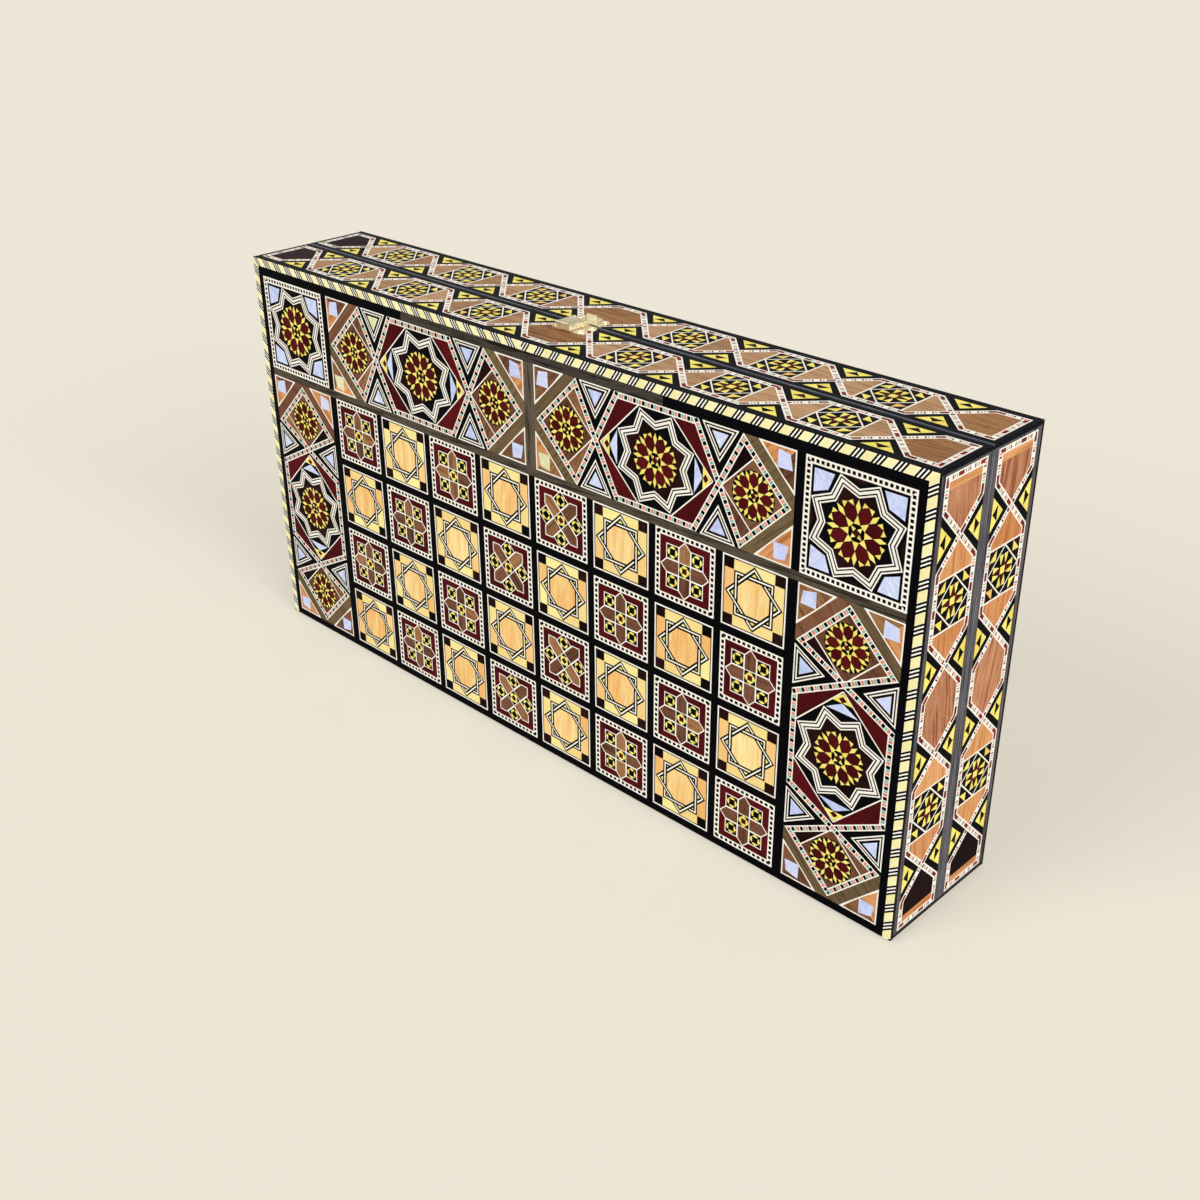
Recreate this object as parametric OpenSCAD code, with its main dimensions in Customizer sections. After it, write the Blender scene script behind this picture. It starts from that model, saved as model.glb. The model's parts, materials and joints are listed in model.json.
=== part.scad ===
// Folding chess and backgammon box: two equal marquetry shells, hinged along
// their lower edge and held shut by a small toggle latch on the upper edge.
// The box stands on its hinge edge: +X runs along it, +Z is up, -Y is the face
// with the front half of the chess board. Z = 0 is the underside of the hinges.

/* [Box] */
// Length of the closed box
box_length = 500; // [440:1:600]
// Height of the box, from hinge edge to latch edge
box_height = 250; // [230:1:300]
// Thickness of the closed box, both shells together
box_thickness = 85; // [70:1:110]
// Gap between the two rims when the box is closed
rim_gap = 0.4; // [0.2:0.1:0.8]
// Thickness of the marquetry on the playing face
face_skin = 2; // [1.5:0.1:3]
// Thickness of the marquetry on the edges
edge_skin = 2; // [1.5:0.1:3]
// Thickness of the core board behind the face
core_board = 6; // [4:0.5:9]
// Thickness of the rails
rail_thickness = 10; // [8:0.5:14]
// Thickness of the inlaid floor inside
floor_skin = 1.5; // [1:0.1:3]

/* [Face layout] */
// Width of the striped edge band
edge_band_width = 4.8; // [3:0.1:6]
// From the side edge of the face to the inlaid panels
side_margin = 9.2; // [7:0.1:12]
// From the upper edge of the face to the inlaid panels
top_margin = 10.4; // [7:0.1:12]
// From the hinge edge of the face to the inlaid panels
bottom_margin = 4.8; // [3:0.1:9]
// Side of a corner square
corner_square = 59.3; // [54:0.1:62]
// Width of a side panel
side_panel_width = 59.4; // [56:0.1:64]
// Dark gap between neighbouring panels
panel_gap = 5; // [3:0.1:7]
// Dark gap between the side panels and the board
board_side_gap = 6.2; // [3:0.1:8]
// Width of the divider between the two upper panels
panel_divider = 8; // [5:0.5:12]
// Dark gap between the squares of the board
square_gap = 4.7; // [3:0.1:7]
// Width of the patterned stringing round panels and squares
stringing = 4; // [3:0.1:5]
// Side of the square behind a small rosette
rosette_square = 26.4; // [22:0.2:28]
// From a panel's end to the centre of its small rosette
rosette_setback = 24; // [22:0.5:26]
// Size of a mother-of-pearl corner piece
pearl_size = 9; // [6:0.5:10]
// Width across the arms of a dark square's cross
cross_width = 8; // [6:0.5:10]
// Width across the flats of a light square's octagon
octagon_width = 20; // [16:0.5:24]

/* [Edge strips] */
// Ebony edging on the face side of a strip
outer_edging = 5; // [4:0.1:7]
// Ebony edging beside the rim
rim_edging = 4.5; // [3:0.1:7]
// From the end of a strip to its first crossing
end_cell = 35.2; // [30:0.1:42]
// Ebony beyond the end cells
end_margin = 3.2; // [3.1:0.1:5]
// Length of the plain cell in the middle
plain_cell = 48.5; // [42:0.1:56]
// Ebony left between two cells where the stringing crosses
cell_gap = 1.6; // [1:0.1:3]

/* [Backgammon field] */
// Points along one end of a shell
points_per_end = 6; // [6]
// Gap between the tips of facing points
tip_gap = 102; // [90:1:140]
// Width of a point's base
point_base = 33; // [26:0.5:34]
// Width of a point's tip
point_tip = 2; // [1:0.5:4]
// From the rail to a point's base
point_margin = 7; // [4:0.5:12]
// Radius of the medallion in the middle of the field
medallion_radius = 34; // [20:1:34]

/* [Hinges] */
// Distance from the middle of the box to a hinge
hinge_offset = 150; // [100:1:180]
// Length of a hinge
hinge_length = 50; // [40:1:64]
// Radius of the hinge barrel
barrel_radius = 1.6; // [1.4:0.1:2]
// Radius of the hinge pin
pin_radius = 0.8; // [0.6:0.1:0.9]
// Thickness of a hinge leaf
leaf_thickness = 1; // [0.8:0.1:1.2]
// Height of a hinge leaf above the pin
leaf_height = 11; // [9:0.5:11]
// Radius of a hinge screw's head
hinge_screw_head = 1.7; // [1.4:0.1:2]
// Radius of a hinge screw's shank
hinge_screw_shank = 0.8; // [0.6:0.1:1]
// Length of a screw's shank in the wood
screw_length = 7; // [5:0.5:9]

/* [Latch] */
// Width of the latch base plate
base_plate_width = 24; // [22:0.5:28]
// Depth of the latch base plate
base_plate_depth = 13.5; // [12:0.5:16]
// Width of the catch plate
catch_plate_width = 20; // [19:0.5:26]
// Depth of the catch plate
catch_plate_depth = 9.4; // [9:0.2:12]
// Distance of both plates from the seam
plate_setback = 1.2; // [0.8:0.1:1.6]
// Thickness of the latch plates
plate_thickness = 0.8; // [0.6:0.1:1]
// Distance of the lever's pivot from the seam
pivot_setback = 4; // [3.8:0.1:4.6]
// Height of the lever's pivot above the wood
pivot_height = 3.2; // [3.1:0.1:3.8]
// Length of the lever in front of its pivot
lever_reach = 12.5; // [11.5:0.5:15]
// Width of the lever
lever_width = 9.4; // [8.6:0.1:10]
// Thickness of the lever's sheet metal
lever_sheet = 0.8; // [0.6:0.1:0.9]
// Radius of the lever round its pivot
lever_round = 2; // [1.9:0.1:2.1]
// Distance from the lever's pivot to the link's pivot
link_crank = 3; // [2.9:0.1:3.4]
// Drop of the link's pivot below the lever's pivot
link_drop = 0.8; // [0.7:0.1:0.9]
// Radius of the latch pins
latch_pin = 0.6; // [0.5:0.05:0.65]
// Width of a link arm
link_arm = 0.8; // [0.6:0.1:1]
// Height of the link's arms and bar
link_height = 1; // [0.8:0.1:1.2]
// Depth of the link's bar
link_bar = 1.2; // [1:0.1:1.6]
// Distance of the hook's back from the seam
hook_setback = 5.6; // [5.4:0.1:6]
// Thickness of the hook
hook_thickness = 0.9; // [0.7:0.1:1]
// Width of the hook
hook_width = 7; // [5:0.5:8]
// Height of the hook above the wood
hook_height = 4.4; // [4:0.1:5]
// Radius of a latch screw's head
latch_screw_head = 1.4; // [1.2:0.1:1.7]
// Height of a latch screw's head
latch_screw_rise = 0.7; // [0.5:0.1:0.9]
// Radius of a latch screw's shank
latch_screw_shank = 0.7; // [0.5:0.1:0.9]

/* [Fits] */
// Radial running clearance of the pins
pin_clearance = 0.05; // [0.02:0.01:0.08]
// Side clearance between moving metal parts
side_clearance = 0.3; // [0.2:0.05:0.4]
// Clearance between wood and hinge barrels
cove_clearance = 0.2; // [0.1:0.05:0.4]
// Gap between the two hinge edges when the box lies open
open_gap = 0.1; // [0.06:0.02:0.3]

/* [Hidden] */
shell_nodes = ["core_board", "top_rail", "left_rail", "right_rail", "hinge_rail", "face_ground",
    "edge_band", "light_squares", "light_octagons", "dark_squares", "dark_crosses",
    "corner_squares", "border_panels", "star_inlays", "pearl_inlays", "long_edge_grounds",
    "end_edge_grounds", "edge_cells", "playing_floor", "light_points", "dark_points", "medallion"];
metal_nodes = ["front_hinge_leaves", "back_hinge_leaves", "hinge_pins", "front_hinge_screws",
    "back_hinge_screws", "latch_base_plate", "latch_lever", "latch_lever_pin", "latch_link",
    "latch_link_pin", "catch_plate", "latch_screws", "catch_screws"];

cut = 1;             // how far a cutting shape runs past the face it cuts
fine = 48;
half_length = box_length / 2;
half_depth = box_thickness / 2;
rim_y = rim_gap / 2;
axis_z = barrel_radius;
base_z = axis_z + open_gap / 2;
top_z = base_z + box_height;
mid_z = base_z + box_height / 2;
face_back = half_depth - face_skin;
board_back = face_back - core_board;
floor_top = board_back - floor_skin;
inner_length = box_length - 2 * (edge_skin + rail_thickness);
inner_height = box_height - 2 * (edge_skin + rail_thickness);

// Face layout, measured from the lower left corner of a face
board_left = side_margin + side_panel_width + board_side_gap;
board_top = box_height - top_margin - corner_square - panel_gap;
field_width = box_length - 2 * board_left;
field_height = board_top - bottom_margin;
columns = 8;
rows = 4;
column_pitch = (field_width + square_gap) / columns;
row_pitch = (field_height + square_gap) / rows;
square_width = column_pitch - square_gap;
square_height = row_pitch - square_gap;
top_panel_length = box_length / 2 - side_margin - corner_square - panel_gap - panel_divider / 2;
side_panel_length = field_height;
star_outer = (corner_square / 2 - stringing) / cos(22.5);
star_inner = star_outer * 0.76;
cross_reach = min(square_width, square_height) / 2 - stringing + 0.8;
cross_point = cross_width / 2;
mitre_gap = 0.1;     // glue line where two strips of the edge band meet

// Strip layout
band_width = half_depth - outer_edging - rim_edging;
band_middle = outer_edging + band_width / 2;
strip_depth = face_back - rim_y;
long_edge_stars = 3;
end_edge_stars = 1;

// Hinges
knuckles = 5;
knuckle_pitch = hinge_length / knuckles;
knuckle_gap = 0.15;
hinge_screw_seat = leaf_thickness * 0.5;
hinge_screw_height = axis_z + leaf_height * 0.64;
hinge_screw_pitch = hinge_length * 0.25;

// Backgammon field
point_length = inner_length / 2 - point_margin - tip_gap / 2;

// Latch, seen from the right: the seam is y = 0, the wood is z = top_z
pivot_y = -pivot_setback;
pivot_z = top_z + pivot_height;
crank_y = pivot_y - link_crank;
crank_z = pivot_z - link_drop;
lever_inner = lever_width / 2 - lever_sheet;
link_inner = lever_width / 2 + side_clearance;
link_outer = link_inner + link_arm;
hook_clearance = 0.6;
hook_lean = 4;
link_bar_front = hook_setback + hook_clearance;
link_end = link_bar_front + link_bar;
link_eye = latch_pin + 0.5;
ear_outer = lever_inner - side_clearance;
ear_radius = latch_pin + 0.8;
screw_lobe = latch_screw_head + 1.3;
base_screw_x = base_plate_width / 2 - screw_lobe;
base_screw_front = plate_setback + base_plate_depth - screw_lobe;
base_screw_back = plate_setback + screw_lobe;
catch_screw_x = catch_plate_width / 2 - screw_lobe;
catch_screw_y = plate_setback + catch_plate_depth - screw_lobe;

// ---- Placing ----

// The back shell is the front shell turned half round about the upright axis
module shell(side) {
    rotate([0, 0, side == "back" ? 180 : 0]) children();
}

// A flat outline in face coordinates becomes a layer between two depths
module face_layer(outer, inner) {
    translate([-half_length, -inner, base_z])
        rotate([90, 0, 0]) linear_extrude(outer - inner) children();
}

// A strip built along X with its outer surface at z = 0 goes on each edge
module on_edge(edge) {
    if (edge == "top") translate([0, -half_depth, top_z]) children();
    if (edge == "hinge") translate([0, -half_depth, base_z]) rotate([0, 180, 0]) children();
    if (edge == "right") translate([half_length, -half_depth, mid_z]) rotate([0, 90, 0]) children();
    if (edge == "left") translate([-half_length, -half_depth, mid_z]) rotate([0, -90, 0]) children();
}

// ---- Outlines on the face ----

module at_squares(dark) {
    for (column = [0 : columns - 1], row = [0 : rows - 1])
        if (((column + row) % 2 == 0) == dark)
            translate([board_left + square_width / 2 + column * column_pitch,
                       board_top - square_height / 2 - row * row_pitch])
                rotate(dark && ((row % 2 == 0 && column == 4) || (row % 2 == 1 && column == 3)) ? 45 : 0)
                    children();
}

module at_square_centres(dark) {
    for (column = [0 : columns - 1], row = [0 : rows - 1])
        if (((column + row) % 2 == 0) == dark)
            translate([board_left + square_width / 2 + column * column_pitch,
                       board_top - square_height / 2 - row * row_pitch]) children();
}

module board_square() {
    square([square_width, square_height], center = true);
}

module octagon_outline() {
    rotate(22.5) circle(r = octagon_width / 2 / cos(22.5), $fn = 8);
}

module cross_arm() {
    reach = cross_reach;
    half = cross_width / 2;
    polygon([[-reach, 0], [-reach + cross_point, -half], [reach - cross_point, -half],
             [reach, 0], [reach - cross_point, half], [-reach + cross_point, half]]);
}

module cross_outline() {
    cross_arm();
    rotate(90) cross_arm();
}

module at_corners() {
    for (x = [side_margin, box_length - side_margin - corner_square])
        translate([x + corner_square / 2, box_height - top_margin - corner_square / 2]) children();
}

// Each long panel is drawn lying along X, centred on the origin
module at_top_panels() {
    for (side = [-1, 1])
        translate([half_length + side * (panel_divider + top_panel_length) / 2,
                   box_height - top_margin - corner_square / 2]) children();
}

module at_side_panels() {
    for (side = [-1, 1])
        translate([half_length + side * (half_length - side_margin - side_panel_width / 2),
                   bottom_margin + side_panel_length / 2]) rotate(90) children();
}

module star_outline() {
    polygon([for (i = [0 : 15]) let (radius = i % 2 == 0 ? star_outer : star_inner)
        [radius * cos(22.5 + i * 22.5), radius * sin(22.5 + i * 22.5)]]);
}

module rosette_outlines(length) {
    star_outline();
    for (side = [-1, 1])
        translate([side * (length / 2 - rosette_setback), 0])
            rotate(45) square(rosette_square, center = true);
}

module pearl_kite(size) {
    polygon([[0, 0], [size, 0], [size * 0.7, size * 0.7], [0, size]]);
}

// Four pearl pieces, one in each corner of a length by width field
module pearl_corners(length, width, inset, size) {
    for (x = [0, 1], y = [0, 1])
        mirror([x, 0]) mirror([0, y])
            translate([-length / 2 + inset, -width / 2 + inset]) pearl_kite(size);
}

module corner_pearls() {
    pearl_corners(corner_square, corner_square, stringing + 1.2, pearl_size + 1);
}

module panel_pearls(length, width) {
    pearl_corners(length, width, 2, pearl_size);
    for (x = [-1, 1], y = [-1, 1])
        translate([x * (length / 2 - rosette_setback - rosette_square * 0.84), y * (width / 2 - 4.2)])
            polygon([[-4.4, 0], [4.4, 0], [0, -y * 8]]);
}

// ---- Outlines on the edge strips ----

// A six-sided cell from one crossing to the next
module cell_outline(length) {
    half = length / 2 - cell_gap / 2;
    rise = band_width / 2;
    polygon([[-half, 0], [-half + rise, -rise], [half - rise, -rise],
             [half, 0], [half - rise, rise], [-half + rise, rise]]);
}

// An end cell, square at the strip's end and pointed at its first crossing
module end_cell_outline() {
    rise = band_width / 2;
    tip = end_cell - cell_gap / 2;
    polygon([[end_margin, -rise], [tip - rise, -rise], [tip, 0], [tip - rise, rise], [end_margin, rise]]);
}

module cells(length, stars) {
    star_cell = (length - 2 * end_cell - plain_cell) / (2 * stars);
    translate([0, band_middle]) {
        cell_outline(plain_cell);
        for (side = [0, 1]) mirror([side, 0]) {
            for (i = [0 : stars - 1])
                translate([plain_cell / 2 + (i + 0.5) * star_cell, 0]) cell_outline(star_cell);
            translate([-length / 2, 0]) end_cell_outline();
        }
    }
}

module edge_board(length) {
    translate([-length / 2, face_skin]) square([length, strip_depth]);
}

// ---- Shell pieces ----

module core_board_piece() {
    color("burlywood") face_layer(face_back, board_back)
        translate([edge_skin, edge_skin])
            square([box_length - 2 * edge_skin, box_height - 2 * edge_skin]);
}

// One rail, mitred at both ends, drawn in face coordinates
module rail_outline(length) {
    polygon([[0, 0], [length, 0], [length - rail_thickness, rail_thickness],
             [rail_thickness, rail_thickness]]);
}

module rail(edge) {
    long = box_length - 2 * edge_skin;
    tall = box_height - 2 * edge_skin;
    color("sienna") face_layer(board_back, rim_y) {
        if (edge == "hinge") translate([edge_skin, edge_skin]) rail_outline(long);
        if (edge == "top") translate([box_length - edge_skin, box_height - edge_skin])
            rotate(180) rail_outline(long);
        if (edge == "left") translate([edge_skin, box_height - edge_skin]) rotate(-90) rail_outline(tall);
        if (edge == "right") translate([box_length - edge_skin, edge_skin]) rotate(90) rail_outline(tall);
    }
}

module hinge_rail_piece() {
    difference() {
        rail("hinge");
        hinge_pockets();
    }
}

// The top rail of each shell takes the screws of its half of the latch
module top_rail_piece(side) {
    difference() {
        rail("top");
        shell(side) screw_bores(side);
    }
}

module face_ground_piece() {
    color("black") face_layer(half_depth, face_back) difference() {
        square([box_length, box_height]);
        edge_band_outline();
        at_square_centres(true) board_square();
        at_square_centres(false) board_square();
        at_corners() square(corner_square, center = true);
        at_top_panels() square([top_panel_length, corner_square], center = true);
        at_side_panels() square([side_panel_length, side_panel_width], center = true);
    }
}

// The band is three strips, mitred where they meet at the upper corners
module edge_band_strip(edge) {
    width = edge_band_width;
    far = box_length - width;
    up = box_height - width;
    if (edge == "top") polygon([[0, box_height], [width, up], [far, up], [box_length, box_height]]);
    mitre = up - mitre_gap;
    if (edge == "left") polygon([[0, 0], [width, 0], [width, mitre], [0, mitre + width]]);
    if (edge == "right") polygon([[far, 0], [box_length, 0], [box_length, mitre + width], [far, mitre]]);
}

module edge_band_outline() {
    for (edge = ["top", "left", "right"]) edge_band_strip(edge);
}

module edge_band_piece() {
    color("wheat") {
        face_layer(half_depth, face_back) edge_band_strip("top");
        face_layer(half_depth, face_back) edge_band_strip("left");
        face_layer(half_depth, face_back) edge_band_strip("right");
    }
}

module light_squares_piece() {
    color("gold") face_layer(half_depth, face_back) at_square_centres(false) difference() {
        board_square();
        octagon_outline();
    }
}

module light_octagons_piece() {
    color("orange") face_layer(half_depth, face_back) at_squares(false) octagon_outline();
}

module dark_squares_piece() {
    color("maroon") face_layer(half_depth, face_back) difference() {
        at_square_centres(true) board_square();
        at_squares(true) cross_outline();
    }
}

module dark_crosses_piece() {
    color("peru") face_layer(half_depth, face_back) at_squares(true) cross_outline();
}

module corner_squares_piece() {
    color("dimgray") face_layer(half_depth, face_back) at_corners() difference() {
        square(corner_square, center = true);
        star_outline();
        corner_pearls();
    }
}

module border_panel_outline(length, width) {
    difference() {
        square([length, width], center = true);
        rosette_outlines(length);
        panel_pearls(length, width);
    }
}

module border_panels_piece() {
    color("saddlebrown") face_layer(half_depth, face_back) {
        at_top_panels() border_panel_outline(top_panel_length, corner_square);
        at_side_panels() border_panel_outline(side_panel_length, side_panel_width);
    }
}

module star_inlays_piece() {
    color("darkred") face_layer(half_depth, face_back) {
        at_corners() star_outline();
        at_top_panels() rosette_outlines(top_panel_length);
        at_side_panels() rosette_outlines(side_panel_length);
    }
}

module pearl_inlays_piece() {
    color("aliceblue") face_layer(half_depth, face_back) {
        at_corners() corner_pearls();
        at_top_panels() panel_pearls(top_panel_length, corner_square);
        at_side_panels() panel_pearls(side_panel_length, side_panel_width);
    }
}

// The long edge boards run full length, the end boards stand between them
module long_edge_grounds_piece(side) {
    color("darkslategray") difference() {
        for (edge = ["top", "hinge"])
            on_edge(edge) translate([0, 0, -edge_skin]) linear_extrude(edge_skin) difference() {
                edge_board(box_length);
                cells(box_length, long_edge_stars);
            }
        shell(side) screw_bores(side);
        hinge_pockets();
    }
}

module end_edge_grounds_piece() {
    color("darkslategray") for (edge = ["left", "right"])
        on_edge(edge) translate([0, 0, -edge_skin]) linear_extrude(edge_skin) difference() {
            edge_board(box_height - 2 * edge_skin);
            cells(box_height, end_edge_stars);
        }
}

module edge_cells_piece(side) {
    color("peru") {
        difference() {
            for (edge = ["top", "hinge"])
                on_edge(edge) translate([0, 0, -edge_skin])
                    linear_extrude(edge_skin) cells(box_length, long_edge_stars);
            shell(side) screw_bores(side);
        }
        for (edge = ["left", "right"])
            on_edge(edge) translate([0, 0, -edge_skin])
                linear_extrude(edge_skin) cells(box_height, end_edge_stars);
    }
}

// ---- Backgammon field inside a shell ----

module point_outline() {
    polygon([[0, -point_base / 2], [point_length, -point_tip / 2],
             [point_length, point_tip / 2], [0, point_base / 2]]);
}

// Light and dark points take turns along both ends
module points(light) {
    pitch = inner_height / points_per_end;
    for (end = [0, 1], i = [0 : points_per_end - 1])
        if (((i + end) % 2 == 0) == light)
            translate([half_length, box_height / 2]) mirror([end, 0])
                translate([-inner_length / 2 + point_margin, (i + 0.5) * pitch - inner_height / 2])
                    point_outline();
}

module medallion_outline() {
    translate([half_length, box_height / 2]) circle(r = medallion_radius, $fn = fine);
}

module playing_floor_piece() {
    color("saddlebrown") face_layer(board_back, floor_top) difference() {
        translate([half_length - inner_length / 2, box_height / 2 - inner_height / 2])
            square([inner_length, inner_height]);
        points(true);
        points(false);
        medallion_outline();
    }
}

module light_points_piece() {
    color("wheat") face_layer(board_back, floor_top) points(true);
}

module dark_points_piece() {
    color("maroon") face_layer(board_back, floor_top) points(false);
}

module medallion_piece() {
    color("goldenrod") face_layer(board_back, floor_top) medallion_outline();
}

// ---- Hinges ----

module at_hinges() {
    for (side = [-1, 1]) translate([side * hinge_offset, 0, axis_z]) children();
}

module along_x(radius, length) {
    rotate([0, 90, 0]) cylinder(r = radius, h = length, center = true, $fn = fine);
}

module at_hinge_screws() {
    for (i = [-1.5 : 1 : 1.5])
        translate([i * hinge_screw_pitch, -rim_y, hinge_screw_height - axis_z])
            rotate([90, 0, 0]) children();
}

// What the hinge takes out of the wood of the front shell
module hinge_pocket() {
    length = hinge_length + 2 * side_clearance;
    along_x(barrel_radius + cove_clearance, length);
    translate([-length / 2, -rim_y - leaf_thickness, -axis_z])
        cube([length, leaf_thickness + cut, axis_z + leaf_height]);
    at_hinge_screws() cylinder(r = hinge_screw_shank, h = leaf_thickness + screw_length, $fn = fine);
}

module hinge_pockets() {
    at_hinges() hinge_pocket();
}

module knuckle(i) {
    translate([(i - (knuckles - 1) / 2) * knuckle_pitch, 0, 0])
        along_x(barrel_radius, knuckle_pitch - knuckle_gap);
}

// A leaf with the knuckles whose number has the given parity
module hinge_leaf(parity) {
    difference() {
        union() {
            translate([-hinge_length / 2, -rim_y - leaf_thickness, 0])
                cube([hinge_length, leaf_thickness, leaf_height]);
            for (i = [parity : 2 : knuckles - 1]) knuckle(i);
        }
        for (i = [1 - parity : 2 : knuckles - 1])
            translate([(i - (knuckles - 1) / 2) * knuckle_pitch, 0, 0])
                along_x(barrel_radius + cove_clearance, knuckle_pitch + knuckle_gap);
        along_x(pin_radius + pin_clearance, hinge_length + cut);
        at_hinge_screws() {
            cylinder(r = hinge_screw_head, h = hinge_screw_seat, $fn = fine);
            cylinder(r = hinge_screw_shank, h = leaf_thickness + cut, $fn = fine);
        }
    }
}

module hinge_leaves(side) {
    color("goldenrod") shell(side) at_hinges() hinge_leaf(side == "back" ? 1 : 0);
}

module hinge_pins() {
    color("darkgoldenrod") at_hinges() along_x(pin_radius, hinge_length);
}

module hinge_screws(side) {
    color("gold") shell(side) at_hinges() at_hinge_screws() {
        cylinder(r = hinge_screw_head, h = hinge_screw_seat, $fn = fine);
        cylinder(r = hinge_screw_shank, h = leaf_thickness + screw_length, $fn = fine);
    }
}

// ---- Latch ----

module at_base_screws() {
    for (x = [-base_screw_x, base_screw_x], y = [-base_screw_front, -base_screw_back])
        translate([x, y, top_z]) children();
}

module at_catch_screws() {
    for (x = [-catch_screw_x, catch_screw_x])
        translate([x, catch_screw_y, top_z]) children();
}

// Screw bores of one side's plate, in the frame of the whole box
module screw_bores(side) {
    if (side == "front") at_base_screws() screw_bore();
    if (side == "back") at_catch_screws() screw_bore();
}

module screw_bore() {
    translate([0, 0, -screw_length]) cylinder(r = latch_screw_shank, h = screw_length + cut, $fn = fine);
}

module latch_screw() {
    translate([0, 0, plate_thickness])
        cylinder(r = latch_screw_head, h = latch_screw_rise, $fn = fine);
    translate([0, 0, -screw_length])
        cylinder(r = latch_screw_shank, h = screw_length + plate_thickness, $fn = fine);
}

// Base plate with a scalloped outline and two ears that carry the lever
module latch_base_plate() {
    color("gold") difference() {
        union() {
            translate([0, 0, top_z]) linear_extrude(plate_thickness) {
                translate([-base_screw_x, -plate_setback - base_plate_depth])
                    square([2 * base_screw_x, base_plate_depth]);
                for (x = [-base_screw_x, base_screw_x], y = [-base_screw_front, -base_screw_back])
                    translate([x, y]) circle(r = screw_lobe, $fn = fine);
            }
            for (x = [-ear_outer, ear_outer - lever_sheet]) translate([x, 0, 0]) {
                translate([0, pivot_y, pivot_z]) rotate([0, 90, 0])
                    cylinder(r = ear_radius, h = lever_sheet, $fn = fine);
                translate([0, pivot_y - ear_radius, top_z])
                    cube([lever_sheet, 2 * ear_radius, pivot_height]);
            }
        }
        translate([0, pivot_y, pivot_z]) along_x(latch_pin, lever_width + cut);
        at_base_screws() screw_bore();
    }
}

// An outline in the plane of the latch's side view, extruded along X
module side_view(from_x, to_x) {
    translate([from_x, 0, 0]) rotate([90, 0, 90]) linear_extrude(to_x - from_x) children();
}

module lever_wall_outline() {
    circle(r = lever_round, $fn = fine);
    translate([-lever_reach, -lever_round]) square([lever_reach, 2 * lever_round]);
}

// Roof, front wall and turned-up thumb lip of the lever
module lever_roof_outline() {
    inner = lever_round - lever_sheet;
    front = -lever_reach;
    polygon([[-ear_radius, lever_round], [-ear_radius, inner], [front + lever_sheet, inner],
             [front + lever_sheet, -lever_round], [front, -lever_round], [front, inner],
             [front - 2 * lever_sheet, lever_round], [front - 1.6 * lever_sheet, lever_round + lever_sheet],
             [front + 0.5 * lever_sheet, lever_round]]);
}

// Channel-shaped lever: two walls, a roof and a turned-up thumb lip
module latch_lever() {
    side = lever_width / 2;
    color("khaki") translate([0, pivot_y, pivot_z]) difference() {
        union() {
            side_view(-side, -lever_inner) lever_wall_outline();
            side_view(lever_inner, side) lever_wall_outline();
            side_view(-side, side) lever_roof_outline();
        }
        along_x(latch_pin + pin_clearance, lever_width + cut);
        translate([0, -link_crank, -link_drop]) along_x(latch_pin + pin_clearance, lever_width + cut);
    }
}

module latch_lever_pin() {
    color("darkgoldenrod") translate([0, pivot_y, pivot_z]) along_x(latch_pin, lever_width);
}

// Two arms outside the lever joined by the bar that drops behind the hook
module latch_link() {
    color("goldenrod") translate([0, crank_y, crank_z]) difference() {
        union() {
            for (x = [-link_outer, link_inner]) translate([x, 0, 0]) {
                rotate([0, 90, 0]) cylinder(r = link_eye, h = link_arm, $fn = fine);
                translate([0, 0, -link_height / 2])
                    cube([link_arm, link_end - crank_y, link_height]);
            }
            translate([-link_outer, link_bar_front - crank_y, -link_height / 2])
                cube([2 * link_outer, link_bar, link_height]);
        }
        along_x(latch_pin, 2 * link_outer + cut);
    }
}

module latch_link_pin() {
    color("darkgoldenrod") translate([0, crank_y, crank_z]) along_x(latch_pin, 2 * link_outer);
}

// Catch plate on the back shell with its upturned hook
module catch_plate() {
    foot = plate_thickness / 2;
    color("gold") difference() {
        union() {
            translate([0, 0, top_z]) linear_extrude(plate_thickness) {
                translate([-catch_screw_x, plate_setback])
                    square([2 * catch_screw_x, catch_plate_depth]);
                for (x = [-catch_screw_x, catch_screw_x])
                    translate([x, catch_screw_y]) circle(r = screw_lobe, $fn = fine);
                translate([-catch_plate_width / 2, plate_setback])
                    square([catch_plate_width, catch_plate_depth - screw_lobe]);
            }
            translate([-hook_width / 2, hook_setback - hook_thickness, top_z + foot])
                rotate([-hook_lean, 0, 0]) cube([hook_width, hook_thickness, hook_height - foot]);
        }
        at_catch_screws() screw_bore();
    }
}

module latch_screws() {
    color("gold") at_base_screws() latch_screw();
}

module catch_screws() {
    color("gold") at_catch_screws() latch_screw();
}

// ---- A shell piece by name ----

module shell_piece(side, name) {
    shell(side) {
        if (name == "core_board") core_board_piece();
        if (name == "top_rail") top_rail_piece(side);
        if (name == "left_rail") rail("left");
        if (name == "right_rail") rail("right");
        if (name == "hinge_rail") hinge_rail_piece();
        if (name == "face_ground") face_ground_piece();
        if (name == "edge_band") edge_band_piece();
        if (name == "light_squares") light_squares_piece();
        if (name == "light_octagons") light_octagons_piece();
        if (name == "dark_squares") dark_squares_piece();
        if (name == "dark_crosses") dark_crosses_piece();
        if (name == "corner_squares") corner_squares_piece();
        if (name == "border_panels") border_panels_piece();
        if (name == "star_inlays") star_inlays_piece();
        if (name == "pearl_inlays") pearl_inlays_piece();
        if (name == "long_edge_grounds") long_edge_grounds_piece(side);
        if (name == "end_edge_grounds") end_edge_grounds_piece();
        if (name == "edge_cells") edge_cells_piece(side);
        if (name == "playing_floor") playing_floor_piece();
        if (name == "light_points") light_points_piece();
        if (name == "dark_points") dark_points_piece();
        if (name == "medallion") medallion_piece();
    }
}

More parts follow.
